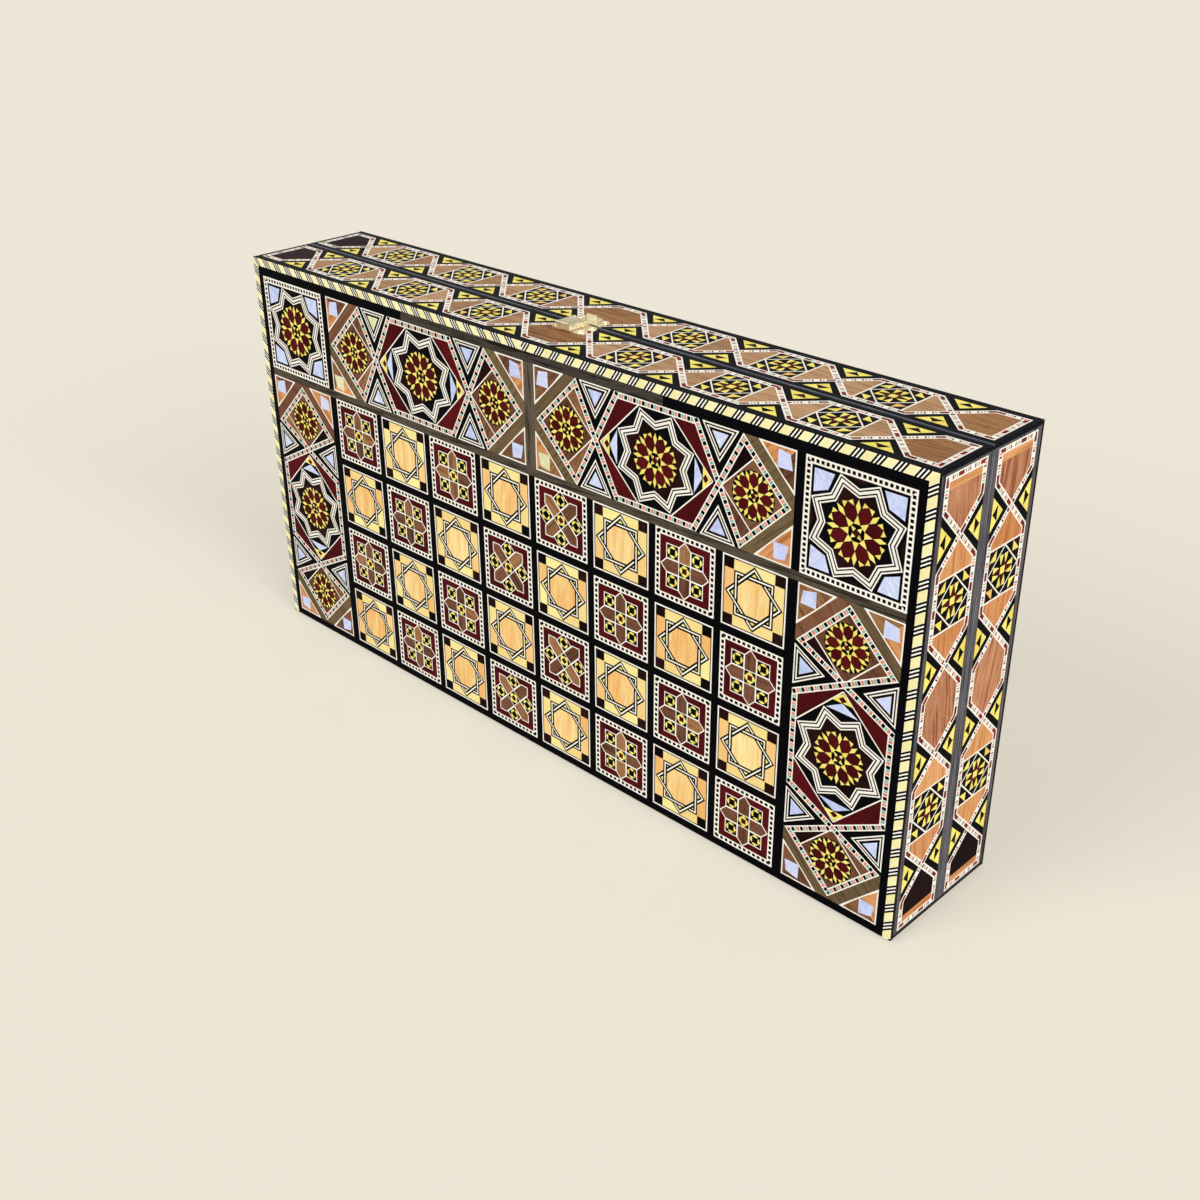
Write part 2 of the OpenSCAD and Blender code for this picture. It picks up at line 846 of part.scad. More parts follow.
for (side = ["front", "back"], name = shell_nodes)
    shell_piece(side, name);
hinge_leaves("front");  // front_hinge_leaves
hinge_leaves("back");  // back_hinge_leaves
hinge_pins();
hinge_screws("front");  // front_hinge_screws
hinge_screws("back");  // back_hinge_screws
latch_base_plate();
latch_lever();
latch_lever_pin();
latch_link();
latch_link_pin();
catch_plate();
latch_screws();
catch_screws();
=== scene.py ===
import json
import math
import random
import numpy as np
import bpy
import bmesh
from mathutils import Matrix, Vector


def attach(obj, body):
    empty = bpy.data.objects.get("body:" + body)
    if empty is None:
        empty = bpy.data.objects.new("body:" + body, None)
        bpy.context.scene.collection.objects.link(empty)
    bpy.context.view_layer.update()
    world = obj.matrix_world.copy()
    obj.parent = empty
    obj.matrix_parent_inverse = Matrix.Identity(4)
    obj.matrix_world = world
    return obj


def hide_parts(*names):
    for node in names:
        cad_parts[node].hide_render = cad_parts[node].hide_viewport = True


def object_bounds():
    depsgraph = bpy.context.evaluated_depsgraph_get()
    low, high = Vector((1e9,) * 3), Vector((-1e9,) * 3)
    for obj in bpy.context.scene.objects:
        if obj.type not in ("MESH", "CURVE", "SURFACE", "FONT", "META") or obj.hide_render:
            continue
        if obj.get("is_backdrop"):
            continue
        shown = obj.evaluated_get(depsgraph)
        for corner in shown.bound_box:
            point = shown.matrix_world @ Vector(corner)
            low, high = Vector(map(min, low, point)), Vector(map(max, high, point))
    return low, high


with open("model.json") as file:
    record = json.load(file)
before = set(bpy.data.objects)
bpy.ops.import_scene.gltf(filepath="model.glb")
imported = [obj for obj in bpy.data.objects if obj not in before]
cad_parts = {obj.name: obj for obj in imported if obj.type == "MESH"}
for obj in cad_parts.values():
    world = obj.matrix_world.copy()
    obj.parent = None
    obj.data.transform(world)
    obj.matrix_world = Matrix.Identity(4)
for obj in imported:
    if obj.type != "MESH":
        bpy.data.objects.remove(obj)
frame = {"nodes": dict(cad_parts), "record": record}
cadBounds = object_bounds()
nodes = frame["nodes"]
mm = 0.001
dice = random.Random(11)

# The box in millimetres, as the CAD has it

box = {"length": 500, "height": 250, "thickness": 85, "base": 1.65, "skin": 2, "ease": 0.45}
face = {
    "edgeBand": 4.8, "sideMargin": 9.2, "topMargin": 10.4, "bottomMargin": 4.8,
    "corner": 59.3, "sidePanel": 59.4, "panelGap": 5, "boardGap": 6.2, "divider": 8,
    "squareGap": 4.7, "columns": 8, "rows": 4,
}
halfLength = box["length"] / 2
halfDepth = box["thickness"] / 2
boardLeft = face["sideMargin"] + face["sidePanel"] + face["boardGap"]
boardTop = box["height"] - face["topMargin"] - face["corner"] - face["panelGap"]
fieldHeight = boardTop - face["bottomMargin"]
columnPitch = (box["length"] - 2 * boardLeft + face["squareGap"]) / face["columns"]
rowPitch = (fieldHeight + face["squareGap"]) / face["rows"]
tileWidth = columnPitch - face["squareGap"]
tileHeight = rowPitch - face["squareGap"]
topPanelLength = (halfLength - face["sideMargin"] - face["corner"] - face["panelGap"]
                  - face["divider"] / 2)


def colour(code):
    # a web colour as the linear numbers that a shader takes
    parts = [int(code[i:i + 2], 16) / 255 for i in (1, 3, 5)]
    return [c / 12.92 if c <= 0.04045 else ((c + 0.055) / 1.055) ** 2.4 for c in parts] + [1]


class Value:
    # a node's socket that takes part in sums, so that shader maths reads as Python
    def __init__(self, finish, socket):
        self.finish, self.socket = finish, socket

    def __add__(self, other):
        return self.finish.maths("ADD", self, other)

    def __sub__(self, other):
        return self.finish.maths("SUBTRACT", self, other)

    def __mul__(self, other):
        return self.finish.maths("MULTIPLY", self, other)

    __radd__ = __add__
    __rmul__ = __mul__


class Finish:
    # one material, with its nodes made by a single method
    def __init__(self, name, **shader):
        self.material = bpy.data.materials.new(name)
        self.material.use_nodes = True
        self.tree = self.material.node_tree
        self.shader = self.tree.nodes["Principled BSDF"]
        for socket, value in shader.items():
            self.feed(socket, value)

    def connect(self, socket, value):
        if isinstance(value, Value):
            self.tree.links.new(value.socket, socket)
        else:
            socket.default_value = value

    def feed(self, socket, value):
        self.connect(self.shader.inputs[socket.replace("_", " ")], value)

    def node(self, kind, settings, sockets, output=0):
        made = self.tree.nodes.new("ShaderNode" + kind)
        for name, setting in settings.items():
            if name == "stops":
                ramp = made.color_ramp.elements
                while len(ramp) < len(setting):
                    ramp.new(0.5)
                for element, (place, shade) in zip(ramp, setting):
                    element.position = place
                    element.color = colour(shade)
            else:
                setattr(made, name, setting)
        for name, value in sockets.items():
            self.connect(made.inputs[name], value)
        return Value(self, made.outputs[output])

    def maths(self, operation, first, second):
        return self.node("Math", {"operation": operation}, {0: first, 1: second})

    def blend(self, amount, first, second):
        # the colour sockets of a Mix node are its seventh and eighth
        return self.node("Mix", {"data_type": "RGBA"}, {0: amount, 6: first, 7: second}, 2)

    def noise(self, where, scale, detail=3, roughness=0.5):
        sockets = {"Vector": where, "Scale": scale, "Detail": detail, "Roughness": roughness}
        return self.node("TexNoise", {}, sockets)

    def ramp(self, value, low, high, *ends, **settings):
        sockets = {"Value": value, "From Min": low, "From Max": high}
        return self.node("MapRange", settings, sockets | dict(zip(("To Min", "To Max"), ends)))

    def bump(self, strength, distance, height):
        bump = self.node("Bump", {}, {"Strength": strength, "Distance": distance, "Height": height})
        self.feed("Normal", bump)

    def stretch(self, where, scale):
        return self.node("Mapping", {}, {"Vector": where, "Scale": scale})


# Woods of the marquetry: two shades, then how strongly each of the other traits shows
traits = ("light", "dark", "figure", "fibre", "streak", "pore", "tint")
woodLooks = {
    "ebony": ("#0d0d12", "#030304", 0.5, 0.5, 0, 0.1, 0.5),
    "slate": ("#1a1b20", "#040405", 0.6, 1.4, 0.5, 0.1, 0.2),
    # painted highlight: pale grey for the light that the rounded seam edge of the edge boards catches
    "worn": ("#8f939b", "#3a3c42", 0.6, 1.2, 0.3, 0.1, 0.2),
    # painted reflection: a brown streaked patch on the black top strip, standing in for reflections
    "bog": ("#615a52", "#211d1a", 0.5, 1.0, 0.8, 0.4, 0.3),
    "smoke": ("#777073", "#2b282b", 0.5, 1.1, 0.6, 0.2, 0.2),
    "umber": ("#2f1516", "#0f0707", 0.5, 0.5, 0.2, 0.2, 0.9),
    "maroon": ("#601519", "#340a0d", 0.5, 0.5, 0, 0.3, 0.7),
    "walnut": ("#b8875a", "#6a452b", 0.4, 0.6, 0.6, 0.7, 0.5),
    "nutwood": ("#8e6148", "#4b2d20", 0.4, 0.7, 0.5, 0.7, 0.6),
    "tan": ("#cda67e", "#8f6847", 0.4, 0.7, 0.6, 0.5, 0.6),
    # painted reflection: brown with dark streaks, standing in for reflections on the black ground
    # between the panels
    "fumed": ("#736757", "#2f2922", 0.5, 0.9, 0.8, 0.4, 0.3),
    "rose": ("#e3a679", "#8e553c", 0.5, 0.5, 1.0, 0.4, 0.3),
    "olive": ("#86704f", "#4e3f2c", 0.4, 0.8, 0.6, 0.4, 0.4),
    "orange": ("#efb47c", "#b26c3a", 0.5, 0.6, 0.7, 0.4, 0.5),
    "maple": ("#f9f1a4", "#efce84", 0.5, 0.5, 0, 0.2, 0.9),
    "honey": ("#fad893", "#e9ac62", 0.6, 0.4, 0.1, 0.1, 0.8),
    "satinwood": ("#fdeca8", "#ebad62", 0.9, 0.7, 0.4, 0.2, 0.6),
    "lemon": ("#faf084", "#e6cd58", 0.3, 0.3, 0, 0.1, 0.6),
    "amber": ("#f5d47c", "#dfa750", 0.3, 0.3, 0, 0.1, 0.5),
    "bone": ("#fcfaf2", "#ebe2d0", 0.4, 0.3, 0, 0.05, 0.4),
    "cream": ("#fbf6c2", "#ece0a0", 0.4, 0.5, 0, 0.1, 0.6),
    "mint": ("#8ccdb9", "#438e7c", 0.3, 0.3, 0, 0.1, 0.6),
    "pink": ("#f3a491", "#cc6757", 0.3, 0.3, 0, 0.1, 0.6),
    "red": ("#93352f", "#5a1c19", 0.3, 0.3, 0, 0.1, 0.6),
}


def woodFinish(name, look, grain=None):
    # veneers read their own UV map, solid timber its Object coordinates with the grain along
    # X or Z; one unit is 100 mm in both
    look = dict(zip(traits, look))
    finish = Finish(name, Specular_IOR_Level=0.02, IOR=1.5)
    if grain:
        where = finish.stretch(finish.node("TexCoord", {}, {}, 3), (10, 10, 10))
    else:
        where = finish.node("UVMap", {"uv_map": "grain"}, {})
    slow, bold, fine, finest = (1.6, 9, 9), (2.2, 42, 42), (7, 120, 120), (26, 210, 210)
    if grain == "Z":
        slow, bold, fine, finest = slow[::-1], bold[::-1], fine[::-1], finest[::-1]
    broad = finish.noise(finish.stretch(where, slow), 2.2, 4, 0.6)
    fibres = finish.noise(finish.stretch(where, fine), 1, 3, 0.65)
    pores = finish.noise(finish.stretch(where, finest), 1, 2, 0.5)
    specks = finish.ramp(pores, 0.34, 0.46, 1, 0)
    shade = 0.5 + look["figure"] * 1.6 * (broad - 0.5) + look["fibre"] * 0.9 * (fibres - 0.5)
    if look["streak"]:
        bands = finish.noise(finish.stretch(where, bold), 1, 3, 0.6)
        dark = finish.ramp(bands, 0.5, 0.62, interpolation_type="SMOOTHSTEP")
        shade = shade - look["streak"] * 0.55 * dark
    if not grain:
        tint = finish.node("Attribute", {"attribute_name": "tint"}, {}, 2)
        shade = shade + look["tint"] * 0.8 * (tint - 0.5)
    clean = finish.node("Clamp", {}, {"Value": shade - look["pore"] * 0.5 * specks})
    finish.feed("Base_Color", finish.blend(clean, colour(look["dark"]), colour(look["light"])))
    lacquer = finish.noise(where, 14, 2, 0.5)
    finish.feed("Roughness", 0.24 + 0.16 * lacquer + 0.06 * specks)
    finish.bump(0.14, 0.0006, 0.55 * lacquer + 0.1 * fibres - 0.12 * specks)
    return finish.material


def pearlFinish(name, clouds, hues):
    # mother-of-pearl: cloudy, with faint bands of other hues
    finish = Finish(name, Specular_IOR_Level=0.3, IOR=1.5)
    where = finish.node("UVMap", {"uv_map": "grain"}, {})
    tint = finish.node("Attribute", {"attribute_name": "tint"}, {}, 2)
    cloud = finish.noise(finish.stretch(where, (8, 15, 8)), 2, 4, 0.6)
    wave = finish.noise(finish.stretch(where, (14, 46, 14)), 1.4, 3, 0.6)
    base = finish.node("ValToRGB", {"stops": list(zip((0.3, 0.42, 0.54, 0.62, 0.74), clouds))},
                       {"Fac": cloud + 0.3 * (tint - 0.5)})
    hue = finish.node("ValToRGB", {"stops": list(zip((0.35, 0.5, 0.6, 0.72), hues))}, {"Fac": wave})
    finish.feed("Base_Color", finish.blend(0.35, base, hue))
    finish.feed("Roughness", 0.16 + 0.2 * wave)
    finish.bump(0.12, 0.0005, cloud)
    return finish.material


def brassFinish(name, light, dark, roughness):
    # polished brass with fine brushing and a little tarnish in patches
    finish = Finish(name, Metallic=0.62)
    place = finish.node("TexCoord", {}, {}, 3)
    patches = finish.noise(place, 260, 4, 0.6)
    brushing = finish.noise(finish.stretch(place, (300, 2400, 2400)), 1, 2, 0.5)
    tarnish = finish.ramp(patches, 0.42, 0.75)
    finish.feed("Base_Color", finish.blend(tarnish, colour(light), colour(dark)))
    finish.feed("Roughness", roughness + 0.1 * brushing + 0.12 * tarnish)
    finish.bump(0.05, 0.0001, brushing)
    return finish.material


# Mother-of-pearl: five shades of its clouds, then four of its bands
pearlLooks = [
    ("pearl", "#a3b2e4 #b9c6f4 #d5ddfb #bccaf2 #f4f6fb", "#c3d1f8 #e4dff0 #cbe0ee #ccd6fa"),
    ("shell", "#cfc98c #dcd7a0 #eae7bd #d9d59b #f2f0d8", "#e6e0ac #e8e8c8 #d6deb4 #e9dfae"),
]
woodNames = [*woodLooks, "pearl", "shell"]
finishes = {name: woodFinish(name, look) for name, look in woodLooks.items()}
for name, clouds, hues in pearlLooks:
    finishes[name] = pearlFinish(name, clouds.split(), hues.split())
print("finishes made:", len(finishes))


def polar(radius, degrees):
    return (radius * math.cos(math.radians(degrees)), radius * math.sin(math.radians(degrees)))


def rays(*points):
    # an outline whose corners are given by radius and angle
    return [polar(*point) for point in points]


def rectangle(x0, y0, x1, y1):
    return [(x0, y0), (x1, y0), (x1, y1), (x0, y1)]


def around(half):
    return rectangle(-half, -half, half, half)


def inset(outline, distance):
    # a closed outline with each side moved inwards and its corners mitred
    corners = [Vector(p) for p in outline]
    moved = []
    for i, corner in enumerate(corners):
        before = (corner - corners[i - 1]).normalized()
        after = (corners[(i + 1) % len(corners)] - corner).normalized()
        first, second = Vector((-before.y, before.x)), Vector((-after.y, after.x))
        moved.append(corner + distance * (first + second) / (1 + first.dot(second)))
    return moved


# A cut this close to a corner, in millimetres, goes through the corner
sliver = 0.01


class Veneer:
    # A sheet of marquetry in millimetres, face up. It starts as one plate, and each piece that is
    # laid is cut out of what is there, so all pieces fit edge to edge.
    def __init__(self, outline, wood, grain=0):
        self.mesh = bmesh.new()
        self.mark = self.mesh.faces.layers.int.new("piece")
        self.pieces = []
        self.extents = {}
        self.holed = False
        self.at()
        corners = [self.mesh.verts.new((x, y, 0)) for x, y in outline]
        whole = self.mesh.faces.new(corners)
        whole[self.mark] = self.enter(wood, grain)
        self.measure([whole])

    def at(self, x=0, y=0, turn=0, size=1, flip=False):
        # where the next pieces go: their own origin, turn and size
        self.turn = turn
        self.place = (Matrix.Translation((x, y, 0)) @ Matrix.Rotation(math.radians(turn), 4, "Z")
                      @ Matrix.Diagonal((-size if flip else size, size, 1, 1)))
        return self

    def turned(self, count, x=0, y=0, size=1, start=0):
        # the next pieces again and again, round a centre
        for k in range(count):
            self.at(x, y, start + 360 / count * k, size)
            yield k

    def quarters(self):
        # the next pieces in each quarter of a long panel
        for turn in (0, 180):
            for flip in (False, True):
                yield self.at(0, 0, turn, 1, flip)

    def twin(self):
        # the same sheet once more, to be cut further on its own
        other = Veneer([(0, 0), (1, 0), (0, 1)], "ebony")
        other.mesh.free()
        other.mesh = self.mesh.copy()
        other.mark = other.mesh.faces.layers.int["piece"]
        other.pieces = list(self.pieces)
        other.extents = {}
        other.measure(other.mesh.faces)
        return other

    def enter(self, wood, grain):
        # the number that marks a new piece
        self.pieces.append((wood, grain))
        return len(self.pieces) - 1

    def fromHere(self):
        # every piece that is laid from now on
        return range(len(self.pieces), 10 ** 6)

    def measure(self, changed):
        # how far each piece reaches, so that a cut soon finds what it meets
        for piece in changed:
            xs = [v.co.x for v in piece.verts]
            ys = [v.co.y for v in piece.verts]
            self.extents[piece] = (min(xs), max(xs), min(ys), max(ys))

    def touching(self, corners, within):
        # the pieces near an outline
        xs, ys, near = [c.x for c in corners], [c.y for c in corners], 2 * sliver
        x0, x1, y0, y1 = min(xs) - near, max(xs) + near, min(ys) - near, max(ys) + near
        found = [piece for piece, (left, right, low, high) in self.extents.items()
                 if right > x0 and left < x1 and high > y0 and low < y1]
        return found if within is None else [piece for piece in found if piece[self.mark] in within]

    def lay(self, wood, outline, grain=0, within=None):
        # one convex piece; grain is the direction of its fibres in degrees
        corners = [self.place @ Vector((p[0], p[1], 0)) for p in outline]
        turns = sum(a.x * b.y - b.x * a.y for a, b in zip(corners, corners[1:] + corners[:1]))
        if turns < 0:
            corners.reverse()
        mark = self.enter(wood, grain + self.turn)
        inside = self.touching(corners, within)
        for start, end in zip(corners, corners[1:] + corners[:1]):
            outward = Vector((end.y - start.y, start.x - end.x, 0)).normalized()
            kept, crossed = [], []
            for piece in inside:
                reach = [(v.co - start).dot(outward) for v in piece.verts]
                if max(reach) <= sliver:
                    kept.append(piece)
                elif min(reach) < -sliver:
                    crossed.append(piece)
            if crossed:
                region = [*crossed, *dict.fromkeys(e for p in crossed for e in p.edges),
                          *dict.fromkeys(v for p in crossed for v in p.verts)]
                cut = bmesh.ops.bisect_plane(self.mesh, geom=region, dist=sliver, plane_co=start,
                                             plane_no=outward)
                parts = [g for g in cut["geom"] if isinstance(g, bmesh.types.BMFace)]
                self.measure(parts)
                kept += [g for g in parts if (g.calc_center_median() - start).dot(outward) < 0]
            inside = kept
        for piece in inside:
            piece[self.mark] = mark
        return mark

    def cutAway(self, outline):
        gone = self.lay("ebony", outline)
        lost = [piece for piece in self.extents if piece[self.mark] == gone]
        for piece in lost:
            del self.extents[piece]
        bmesh.ops.delete(self.mesh, geom=lost, context="FACES")

    def strip(self, quad, layers, within=None):
        # lines side by side, each layer with its width and either a wood or a cycle of blocks
        near0, near1, far1, far0 = [Vector((p[0], p[1])) for p in quad]
        grain = math.degrees(math.atan2(near1.y - near0.y, near1.x - near0.x))
        total = sum(width for width, content in layers)
        done = 0
        for width, content in layers:
            low, high = done / total, (done + width) / total
            part = [near0.lerp(far0, low), near1.lerp(far1, low),
                    near1.lerp(far1, high), near0.lerp(far0, high)]
            if isinstance(content, str):
                self.lay(content, part, grain, within)
            else:
                self.blocks(part, content, grain, within)
            done += width

    def blocks(self, quad, cycle, grain, within):
        # a row of blocks across a strip, with bone between them
        base = {self.lay("bone", quad, grain, within)}
        along = (quad[1] - quad[0]).normalized()
        across = Vector((-along.y, along.x))
        places = [p.dot(along) for p in quad]
        sides = [p.dot(across) for p in quad]
        place = min(places)
        while place < max(places):
            for length, wood in cycle:
                if wood:
                    block = rectangle(place, min(sides), place + length, max(sides))
                    self.lay(wood, [along * s + across * t for s, t in block], grain + 90, base)
                place += length

    def bar(self, start, end, layers):
        # a straight strip centred on the line from start to end
        start, end = Vector(start), Vector(end)
        along = (end - start).normalized()
        half = Vector((along.y, -along.x)) * sum(width for width, content in layers) / 2
        self.strip([start + half, end + half, end - half, start - half], layers)

    def border(self, outline, start, layers, sides=None, within=None):
        # strips that run inside a closed outline, mitred at its corners
        width = sum(layer[0] for layer in layers)
        outer, inner = inset(outline, start), inset(outline, start + width)
        for i in sides if sides is not None else range(len(outline)):
            after = (i + 1) % len(outline)
            self.strip([outer[i], outer[after], inner[after], inner[i]], layers, within)


# Stringing: a line of blocks between two white lines, in the kinds that the box has
dotCycle = [(0.6, None), (1.95, "ebony"), (0.6, None)]
cornerDots = [(0.55, None), (1.7, "ebony"), (0.55, None)]
panelCycle = [(0.3, None), (1.95, "ebony"), (0.35, None), (1.2, "mint"), (0.25, None), (1.65, "pink"),
              (0.2, None)]
edgeCycle = [(0.5, None), (4.5, "red"), (0.9, None), (0.8, "mint"), (0.8, None), (0.95, "pink"),
             (0.5, None), (0.85, ("ebony", "umber")), (2.9, None), (0.85, ("ebony", "umber")),
             (0.75, None), (0.95, "pink"), (0.75, None), (0.8, "mint"), (0.5, None)]
stringings = {
    "dark": [(0.85, "bone"), (1.7, dotCycle), (0.8, "bone")],
    "corner": [(0.95, "bone"), (1.8, cornerDots), (0.95, "bone")],
    "panel": [(0.65, "bone"), (2.25, panelCycle), (0.65, "bone")],
    "edge": [(0.75, "bone"), (2.0, edgeCycle), (0.75, "bone")],
    "star": [(0.75, "bone"), (0.72, "ebony"), (1.35, "bone"), (0.72, "ebony"), (0.75, "bone")],
    "triangle": [(0.75, "bone"), (0.8, "ebony"), (0.7, "bone")],
}

# Woods that one piece or another of a motif may have, drawn for each piece as it is glued in
armWoods = ("walnut", "nutwood", "nutwood", "walnut", "nutwood")
paleWoods = ("maple", "honey", "honey", "maple", "honey")
endWoods = ("orange", "nutwood", "orange", "walnut")
pearls = ("pearl",) * 6 + ("shell",)


def diamondInlay(sheet, half, centre):
    # a black square with four yellow corners round a small centre
    sheet.lay("ebony", around(half))
    sheet.lay("lemon", [polar(half * 0.82 if k % 2 else half, 45 * k) for k in range(8)])
    sheet.lay(centre, around(half * 0.42))
    for k in range(4):
        middle = 90 * k + 45
        wedge = rays((half * 0.9, middle - 7), (half * 0.9, middle + 7), (half * 0.58, middle))
        sheet.lay("ebony", wedge)


cross = {"margin": 3.35, "field": 16.1, "reach": 16.3, "turnedReach": 17.7, "halfArm": 4.1, "start": 3.5,
         "line": 0.6, "diamond": 3.6, "boxAt": 11.53, "boxLine": 4.25, "box": 3.7, "boxCentre": 1.85}


def darkTile(crossed):
    # maroon square with an upright cross, or with the same cross turned by 45 degrees
    square = rectangle(-tileWidth / 2, -tileHeight / 2, tileWidth / 2, tileHeight / 2)
    sheet = Veneer(square, "ebony")
    sheet.border(square, 0, stringings["dark"])
    field = sheet.fromHere()
    sheet.border(square, cross["margin"], [(cross["field"], "maroon")])
    turn, reach = (45, cross["turnedReach"]) if crossed else (0, cross["reach"])
    ring = [polar(3.15 if j % 2 else 3.6, 45 * j) for j in range(8)]
    for k in range(4):
        x, y = polar(cross["boxAt"], 45 + 90 * k + turn)
        sheet.at(x, y, turn)
        for wood, outline in (("bone", around(cross["boxLine"])), ("ebony", around(cross["box"])),
                              ("lemon", ring), ("ebony", around(cross["boxCentre"]))):
            sheet.lay(wood, outline, 0, field)
        for j in range(4):
            way = 90 * j + 45
            tooth = rays((2.3, way - 10), (3.2, way - 6), (3.2, way + 6), (2.3, way + 10))
            sheet.lay("ebony", tooth, 0, field)
    half, start = cross["halfArm"], cross["start"]
    for k in sheet.turned(4, start=turn):
        arm = [(-half, start), (half, start), (half, reach - half), (0, reach), (-half, reach - half)]
        sheet.lay("bone", arm, 0, field)
        sheet.lay(armWoods, inset(arm, cross["line"]), 90, field)
    sheet.at(0, 0, turn)
    sheet.lay("bone", around(half), 0, field)
    diamondInlay(sheet, cross["diamond"], "maroon")
    return sheet


knot = {"edge": [(0.85, "bone"), (0.6, "ebony")], "corner": 5.8, "tip": 18.0, "flat": 12.45,
        "band": [(0.9, "ebony"), (0.8, "bone"), (1.05, "ebony")], "overlap": 2.7}


def lightTile():
    # pale square with two interlaced square bands round an octagon
    w, h = tileWidth / 2, tileHeight / 2
    square = rectangle(-w, -h, w, h)
    sheet = Veneer(square, "ebony")
    sheet.border(square, 0, knot["edge"])
    inner = sheet.fromHere()
    line = 1.45
    sheet.lay("ebony", rectangle(line - w, line - h, w - line, h - line))
    reach, across = w - line, knot["corner"]
    for k in sheet.turned(4):
        corner = rectangle(reach - across, reach - across, reach, reach)
        sheet.lay(("umber", "ebony", "umber"), corner, 0, inner)
        pale = paleWoods if k % 2 else ("maple",)
        sheet.lay(pale, rectangle(0, reach - across - 0.2, reach - across, reach), 0, inner)
        sheet.lay(pale, rectangle(across - reach, reach - across - 0.2, 0, reach), 0, inner)
    tip, flat, band = knot["tip"], knot["flat"], 2.75
    upright = around(flat)
    diamond = [polar(tip, 90 * k) for k in range(4)]
    sheet.at()
    sheet.lay("ebony", diamond, 0, inner)
    sheet.lay("ebony", upright, 0, inner)
    free, cut = flat - band, tip - band * math.sqrt(2)
    for k in sheet.turned(4):
        sheet.lay("lemon", [(free, free), (tip - free + 0.3, free), (free, tip - free + 0.3)])
        sheet.lay("lemon", [(flat + 0.1, flat - cut + 0.1), (cut, 0), (flat + 0.1, cut - flat - 0.1)])
    sheet.at()
    side = cut - free
    sheet.lay("satinwood", [(free, -side), (free, side), (side, free), (-side, free),
                            (-free, side), (-free, -side), (-side, -free), (side, -free)], 85)
    sheet.border(upright, 0, knot["band"], None, inner)
    sheet.border(diamond, 0, knot["band"], None, inner)
    middle, overlap = flat - band / 2, knot["overlap"]
    crossing = (tip + cut) / 2 - middle
    for k in sheet.turned(4):
        sheet.bar((crossing + overlap, middle), (crossing - overlap, middle), knot["band"])
    return sheet


def rosette(sheet, x, y, turn, size):
    # eight maroon petals, yellow points between and round them, and a small whirl in the middle
    for k in sheet.turned(8, x, y, size, turn):
        sheet.lay("lemon", rays((15.85, 11), (12.95, 12.6), (15.1, 0.6)), 30)
        sheet.lay("lemon", rays((15.85, -11), (12.95, -12.6), (15.1, -0.6)), 30)
        sheet.lay("lemon", rays((16.2, 22.5), (12.7, 28.6), (9.1, 22.5), (12.7, 16.4)), 22)
        petal = rays((15, 0), (12.9, 12.7), (9.1, 22.2), (5.0, 0), (9.1, -22.2), (12.9, -12.7))
        sheet.lay("maroon", petal, 90)
    sheet.at(x, y, turn, size)
    sheet.lay("ebony", [polar(4.9, 22.5 + 45 * k) for k in range(8)])
    for k in sheet.turned(8, x, y, size, turn + 22.5):
        sheet.lay("lemon", [(8.8, 0), (4.35, 1.75), (4.35, -1.75)])
    for k in sheet.turned(4, x, y, size, turn):
        sheet.lay(("lemon", "lemon", "amber"), [(1.0, 1.5), (4.1, 1.8), (2.2, -0.4)])
    sheet.at(x, y, turn + 25, size)
    sheet.lay("maroon", around(1.2))


def starField(sheet, size, rosetteSize, notch, tip=28.1):
    # an eight-pointed star: its banded outline, dark ground and rosette
    for k in sheet.turned(8, 0, 0, size):
        point = [(0, 0), polar(notch, 0), polar(tip, 22.5), polar(notch, 45)]
        sheet.lay(("umber", "umber", "ebony"), point, 60)
    sheet.at(0, 0, 0, size)
    sheet.border([polar(tip if k % 2 else notch, 22.5 * k) for k in range(16)], 0, stringings["star"])
    rosette(sheet, 0, 0, 22.5, rosetteSize)


def cornerTile():
    # a star in a stringed square, with mother-of-pearl in the corners
    half = face["corner"] / 2
    sheet = Veneer(around(half), "ebony")
    sheet.border(around(half), 0, stringings["corner"])
    for k in sheet.turned(4):
        far = half - 3.7 - 1.4
        kite = [(far, far), (far - 11.6, far), (far - 8.6, far - 8.0), (far - 0.3, far - 11.1)]
        sheet.lay("pearl", kite, 40)
        sheet.lay("umber", [(-6, half - 4.2), (0, half - 6.2), (6, half - 4.2)])
    starField(sheet, 0.985, 1.0, 21.7)
    return sheet


panel = {"crossing": 41.3, "slope": 1.888, "band": 3.55, "setback": 24, "kite": 18.7, "vertex": 1.4,
         "line": [(0.7, "bone")], "triangle": 11.3}


